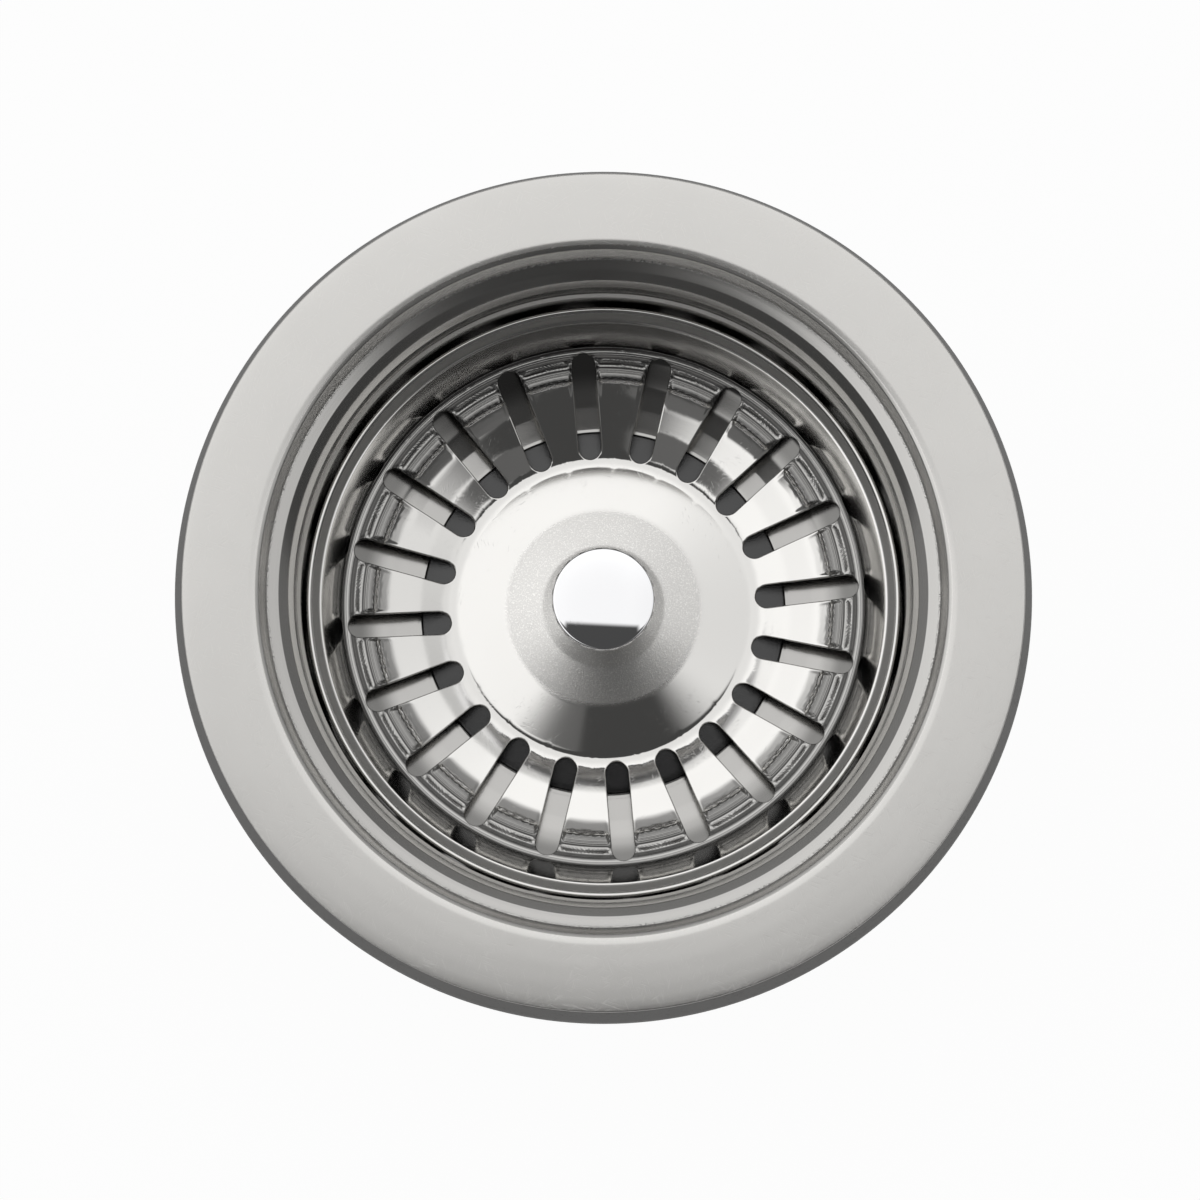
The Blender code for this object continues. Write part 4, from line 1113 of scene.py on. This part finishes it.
def make_turned_steel(name, slot, spacing, dull):
    """Steel straight from the lathe: fine rings in relief and roughness, and a few bright scratches."""
    made, tree, shader = new_finish(name, 1.0, dull)
    grain = use_group(tree, GRAIN, Scale=6000.0)
    rings = use_group(tree, LATHE, Spacing=spacing)["Height"]
    scratches = use_group(tree, SCRATCHES, Scale=6000.0, Few=0.55)["Mask"]
    colour = BASE_COLOURS[slot]
    shaded = clouded(tree, grain, colour, 0.05)
    shaded = layered(tree, shaded, colour, (times(tree, scratches, 0.3), 1.2))
    roughness = total(tree, (rings, 0.12), (scratches, 0.08), (grain["Cloud"], 0.06), start=dull - 0.09)
    relief = total(tree, (rings, 1.0), (grain["Height"], 0.2))
    dress(tree, shader, shaded, roughness, relief, 0.000008)
    return made


OUTLET_STEEL = make_turned_steel("turned_outlet_steel", "outlet_steel", 0.22, 0.30)
POST_STEEL = make_turned_steel("turned_post_steel", "post_steel", 0.10, 0.17)
stand_for(make_outlet(), "outlet_spud", OUTLET_STEEL)
print("The outlet is finished in", OUTLET_STEEL.name)

# %% [markdown]
# The post runs from the knob down through the basket, the rubber and the hub. Steel washers grip the
# rubber, a split washer and a small nut with six flats hold them, and a groove near the tip holds the
# split ring.

# %% The post and what it carries
POST_THREAD_PITCH, POST_THREAD_CUT, POST_THREAD_SPAN = 0.8, 0.14, (34.6, 42.0)


def make_post():
    """A stud, a barrel and a stem with a groove near its tip."""
    _, barrel, top, bottom = measures("post")
    stud, stem, groove = 1.9, 2.5, 1.9
    barrel_top, barrel_foot, groove_top, groove_foot = 21.0, 25.6, 43.7, 46.5
    rows = [(0.0, top, 0.0), (stud, top, 0.3), (stud, barrel_top, 0.1), (barrel, barrel_top, 0.4)]
    rows += [(barrel, barrel_foot, 0.4), (stem, barrel_foot, 0.2), (stem, groove_top, 0.15)]
    rows += [(groove, groove_top, 0.1), (groove, groove_foot, 0.1), (stem, groove_foot, 0.15)]
    rows += [(stem, bottom, 0.9), (0.0, bottom, 0.0)]

    def warp(radius, depth, turn):
        """A fine thread is cut into the stem where the small nut screws on."""
        span = (radius > 2.2) * between(depth, *POST_THREAD_SPAN, POST_THREAD_PITCH)
        return radius - span * POST_THREAD_CUT * (1 - thread_wave(depth, turn, POST_THREAD_PITCH)), depth

    return turned("centre_post", rows, closed=False, angles=even_angles(64), spacing=0.12, warp=warp)


def make_retaining_nut():
    """A ring whose outside is pushed out to six flats."""
    bore, corner, top, bottom = measures("retaining_nut")
    flat = 5.6
    rows = [(bore, top, 0.25), (flat, top, 0.0), (flat, bottom, 0.0), (bore, bottom, 0.25)]

    def warp(radius, depth, turn):
        """Six flats, which a cone at each end cuts back to a circle."""
        cone = flat + 0.08 + 1.7 * np.minimum(depth - top, bottom - depth)
        shape = flats(turn, 6, flat, corner - 0.05, math.pi / 6)
        wanted = np.minimum(shape, cone)
        share = fade_in(radius, bore + 0.6, flat)
        return radius + share * (wanted - flat), depth

    return turned("small_hex_nut", rows, angles=even_angles(144), spacing=0.15, warp=warp)


def refinish(finish, *nodes):
    """A CAD node whose shape is right keeps it, and its material slots take a finish."""
    for node in nodes:
        for slot in frame["nodes"][node].material_slots:
            slot.material = finish


stand_for(make_post(), "post", POST_STEEL)
stand_for(make_retaining_nut(), "retaining_nut", POST_STEEL)
stand_for(make_washer("steel_backing_plate", "backing_plate", 0.25), "backing_plate", POST_STEEL)
stand_for(make_washer("steel_retainer", "stopper_retainer", 0.25), "stopper_retainer", POST_STEEL)
refinish(POST_STEEL, "lock_washer")
refinish(OUTLET_STEEL, "hub_spider")
refinish(NYLON, "hub_sleeve", "snap_ring")
print("Every piece has its finish")

# %% [markdown]
# The light is that of a white tent with a gap on the viewer's side. Straight above it is about as bright
# as white paper, it is a little brighter lower down, and the gap is dark: it is what gives the polished
# steel its dark strokes. The floor is plain white and keeps a soft shadow under the part. The camera sees
# a clean white background, and so do mirrors that look at the floor.

# %% The room's light
WHITE = (1.0, 1.0, 1.0, 1.0)
FLOOR_RADIUS, FLOOR_SHARE = 3000.0, 0.96
DARK_LEVEL = 0.07
NEAR_EDGE, NEAR_SLOPE = (-0.155, -0.105), 0.05
LEFT_START, LEFT_SLOPE, LEFT_SOFT, LEFT_HELD = 0.56, 0.53, 0.13, -0.6
RIGHT_START, RIGHT_SLOPE, RIGHT_SOFT = 0.60, 0.1, 0.15
FAR_EDGE, FAR_SLOPE, FAR_SHARE = (-0.66, -0.50), -0.12, 0.93
TENT_BY_Z, RIGHT_BY_X = (0.70, 1.0, 1.34, 1.08), (0.20, 0.78, 1.0, 0.72)
LOW_BY_Z, LOW_SLOPE = (0.47, 0.69, 0.25, 1.0), -0.04


def make_world():
    """Brightness by direction: p = x / z and q = y / z place a direction on a flat ceiling above the part.

    The gap is dark where q + 0.05 p is below its near edge, between two lines. The left one is
    p = -0.56 - 0.53 q and stands still beyond q = -0.6, and the right one is p = 0.60 + 0.1 q. The tent
    ends before q = -0.66, and sooner on the right. Its brightness changes with z and x over the first two
    numbers of each range, from the third number to the fourth: brighter down the sides, less so on the
    right, and much darker near the floor.
    """
    world = bpy.data.worlds.new("white_tent")
    bpy.context.scene.world = world
    world.use_nodes = True
    tree = world.node_tree
    tree.nodes.clear()
    direction = add_node(tree, "ShaderNodeTexCoord").outputs["Generated"]
    x, y, z = add_node(tree, "ShaderNodeSeparateXYZ", {"Vector": direction}).outputs[:3]
    up = math_node(tree, "MAXIMUM", z, 0.05)
    p, q = math_node(tree, "DIVIDE", x, up), math_node(tree, "DIVIDE", y, up)
    near = remap(tree, plus(tree, times(tree, p, NEAR_SLOPE), q), *NEAR_EDGE, 1.0, 0.0)
    held = math_node(tree, "MAXIMUM", q, LEFT_HELD)
    from_left = plus(tree, plus(tree, times(tree, held, LEFT_SLOPE), p), LEFT_START)
    right_line = plus(tree, times(tree, held, RIGHT_SLOPE), RIGHT_START)
    from_right = math_node(tree, "SUBTRACT", right_line, p)
    inside = times(tree, remap(tree, from_left, -LEFT_SOFT, LEFT_SOFT),
                   remap(tree, from_right, -RIGHT_SOFT, RIGHT_SOFT))
    right = math_node(tree, "MAXIMUM", p, 0.0)
    beyond = remap(tree, plus(tree, times(tree, right, FAR_SLOPE), q), *FAR_EDGE, FAR_SHARE, 0.0)
    gap = math_node(tree, "MAXIMUM", times(tree, near, inside), beyond)
    low = remap(tree, plus(tree, times(tree, x, LOW_SLOPE), z), *LOW_BY_Z)
    tent = times(tree, times(tree, remap(tree, z, *TENT_BY_Z), low), remap(tree, x, *RIGHT_BY_X))
    open_share = math_node(tree, "SUBTRACT", 1.0, gap)
    lit = plus(tree, times(tree, tent, open_share), times(tree, gap, DARK_LEVEL))
    seen = add_node(tree, "ShaderNodeLightPath").outputs["Is Camera Ray"]
    room = add_node(tree, "ShaderNodeBackground", {"Strength": lit, "Color": WHITE})
    plain = add_node(tree, "ShaderNodeBackground", {"Strength": 1.0, "Color": WHITE})
    mixed = add_node(tree, "ShaderNodeMixShader", {0: seen, 1: room.outputs[0], 2: plain.outputs[0]})
    add_node(tree, "ShaderNodeOutputWorld", {"Surface": mixed.outputs[0]})
    return world


def make_floor():
    """A wide disc under the part, white to the camera and in mirrors, with a soft shadow.

    Its back is clear, so that the part can be looked at from below.
    """
    rows = [(0.0, TOP / MM, 0.0), (FLOOR_RADIUS, TOP / MM, 0.0)]
    floor = turned("studio_floor", rows, closed=False, spacing=1000)
    if floor.data.polygons[0].normal.z < 0:
        floor.data.flip_normals()
    made = bpy.data.materials.new("white_floor")
    made.use_nodes = True
    tree = made.node_tree
    tree.nodes.clear()
    paths = add_node(tree, "ShaderNodeLightPath").outputs
    looks = math_node(tree, "MAXIMUM", paths["Is Camera Ray"], paths["Is Glossy Ray"])
    looks = math_node(tree, "MAXIMUM", looks, paths["Is Transmission Ray"])
    matte = add_node(tree, "ShaderNodeBsdfDiffuse", {"Color": (0.85, 0.85, 0.85, 1.0)})
    white = add_node(tree, "ShaderNodeEmission", {"Color": WHITE, "Strength": 1.0})
    share = times(tree, looks, FLOOR_SHARE)
    mixed = add_node(tree, "ShaderNodeMixShader", {0: share, 1: matte.outputs[0], 2: white.outputs[0]})
    clear = add_node(tree, "ShaderNodeBsdfTransparent").outputs[0]
    under = add_node(tree, "ShaderNodeNewGeometry").outputs["Backfacing"]
    both = add_node(tree, "ShaderNodeMixShader", {0: under, 1: mixed.outputs[0], 2: clear})
    add_node(tree, "ShaderNodeOutputMaterial", {"Surface": both.outputs[0]})
    floor.data.materials.append(made)
    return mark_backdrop(floor)


make_world()
make_floor()
bpy.context.scene.view_settings.view_transform = "Standard"
print("The room is lit, and the gap's level is", DARK_LEVEL)
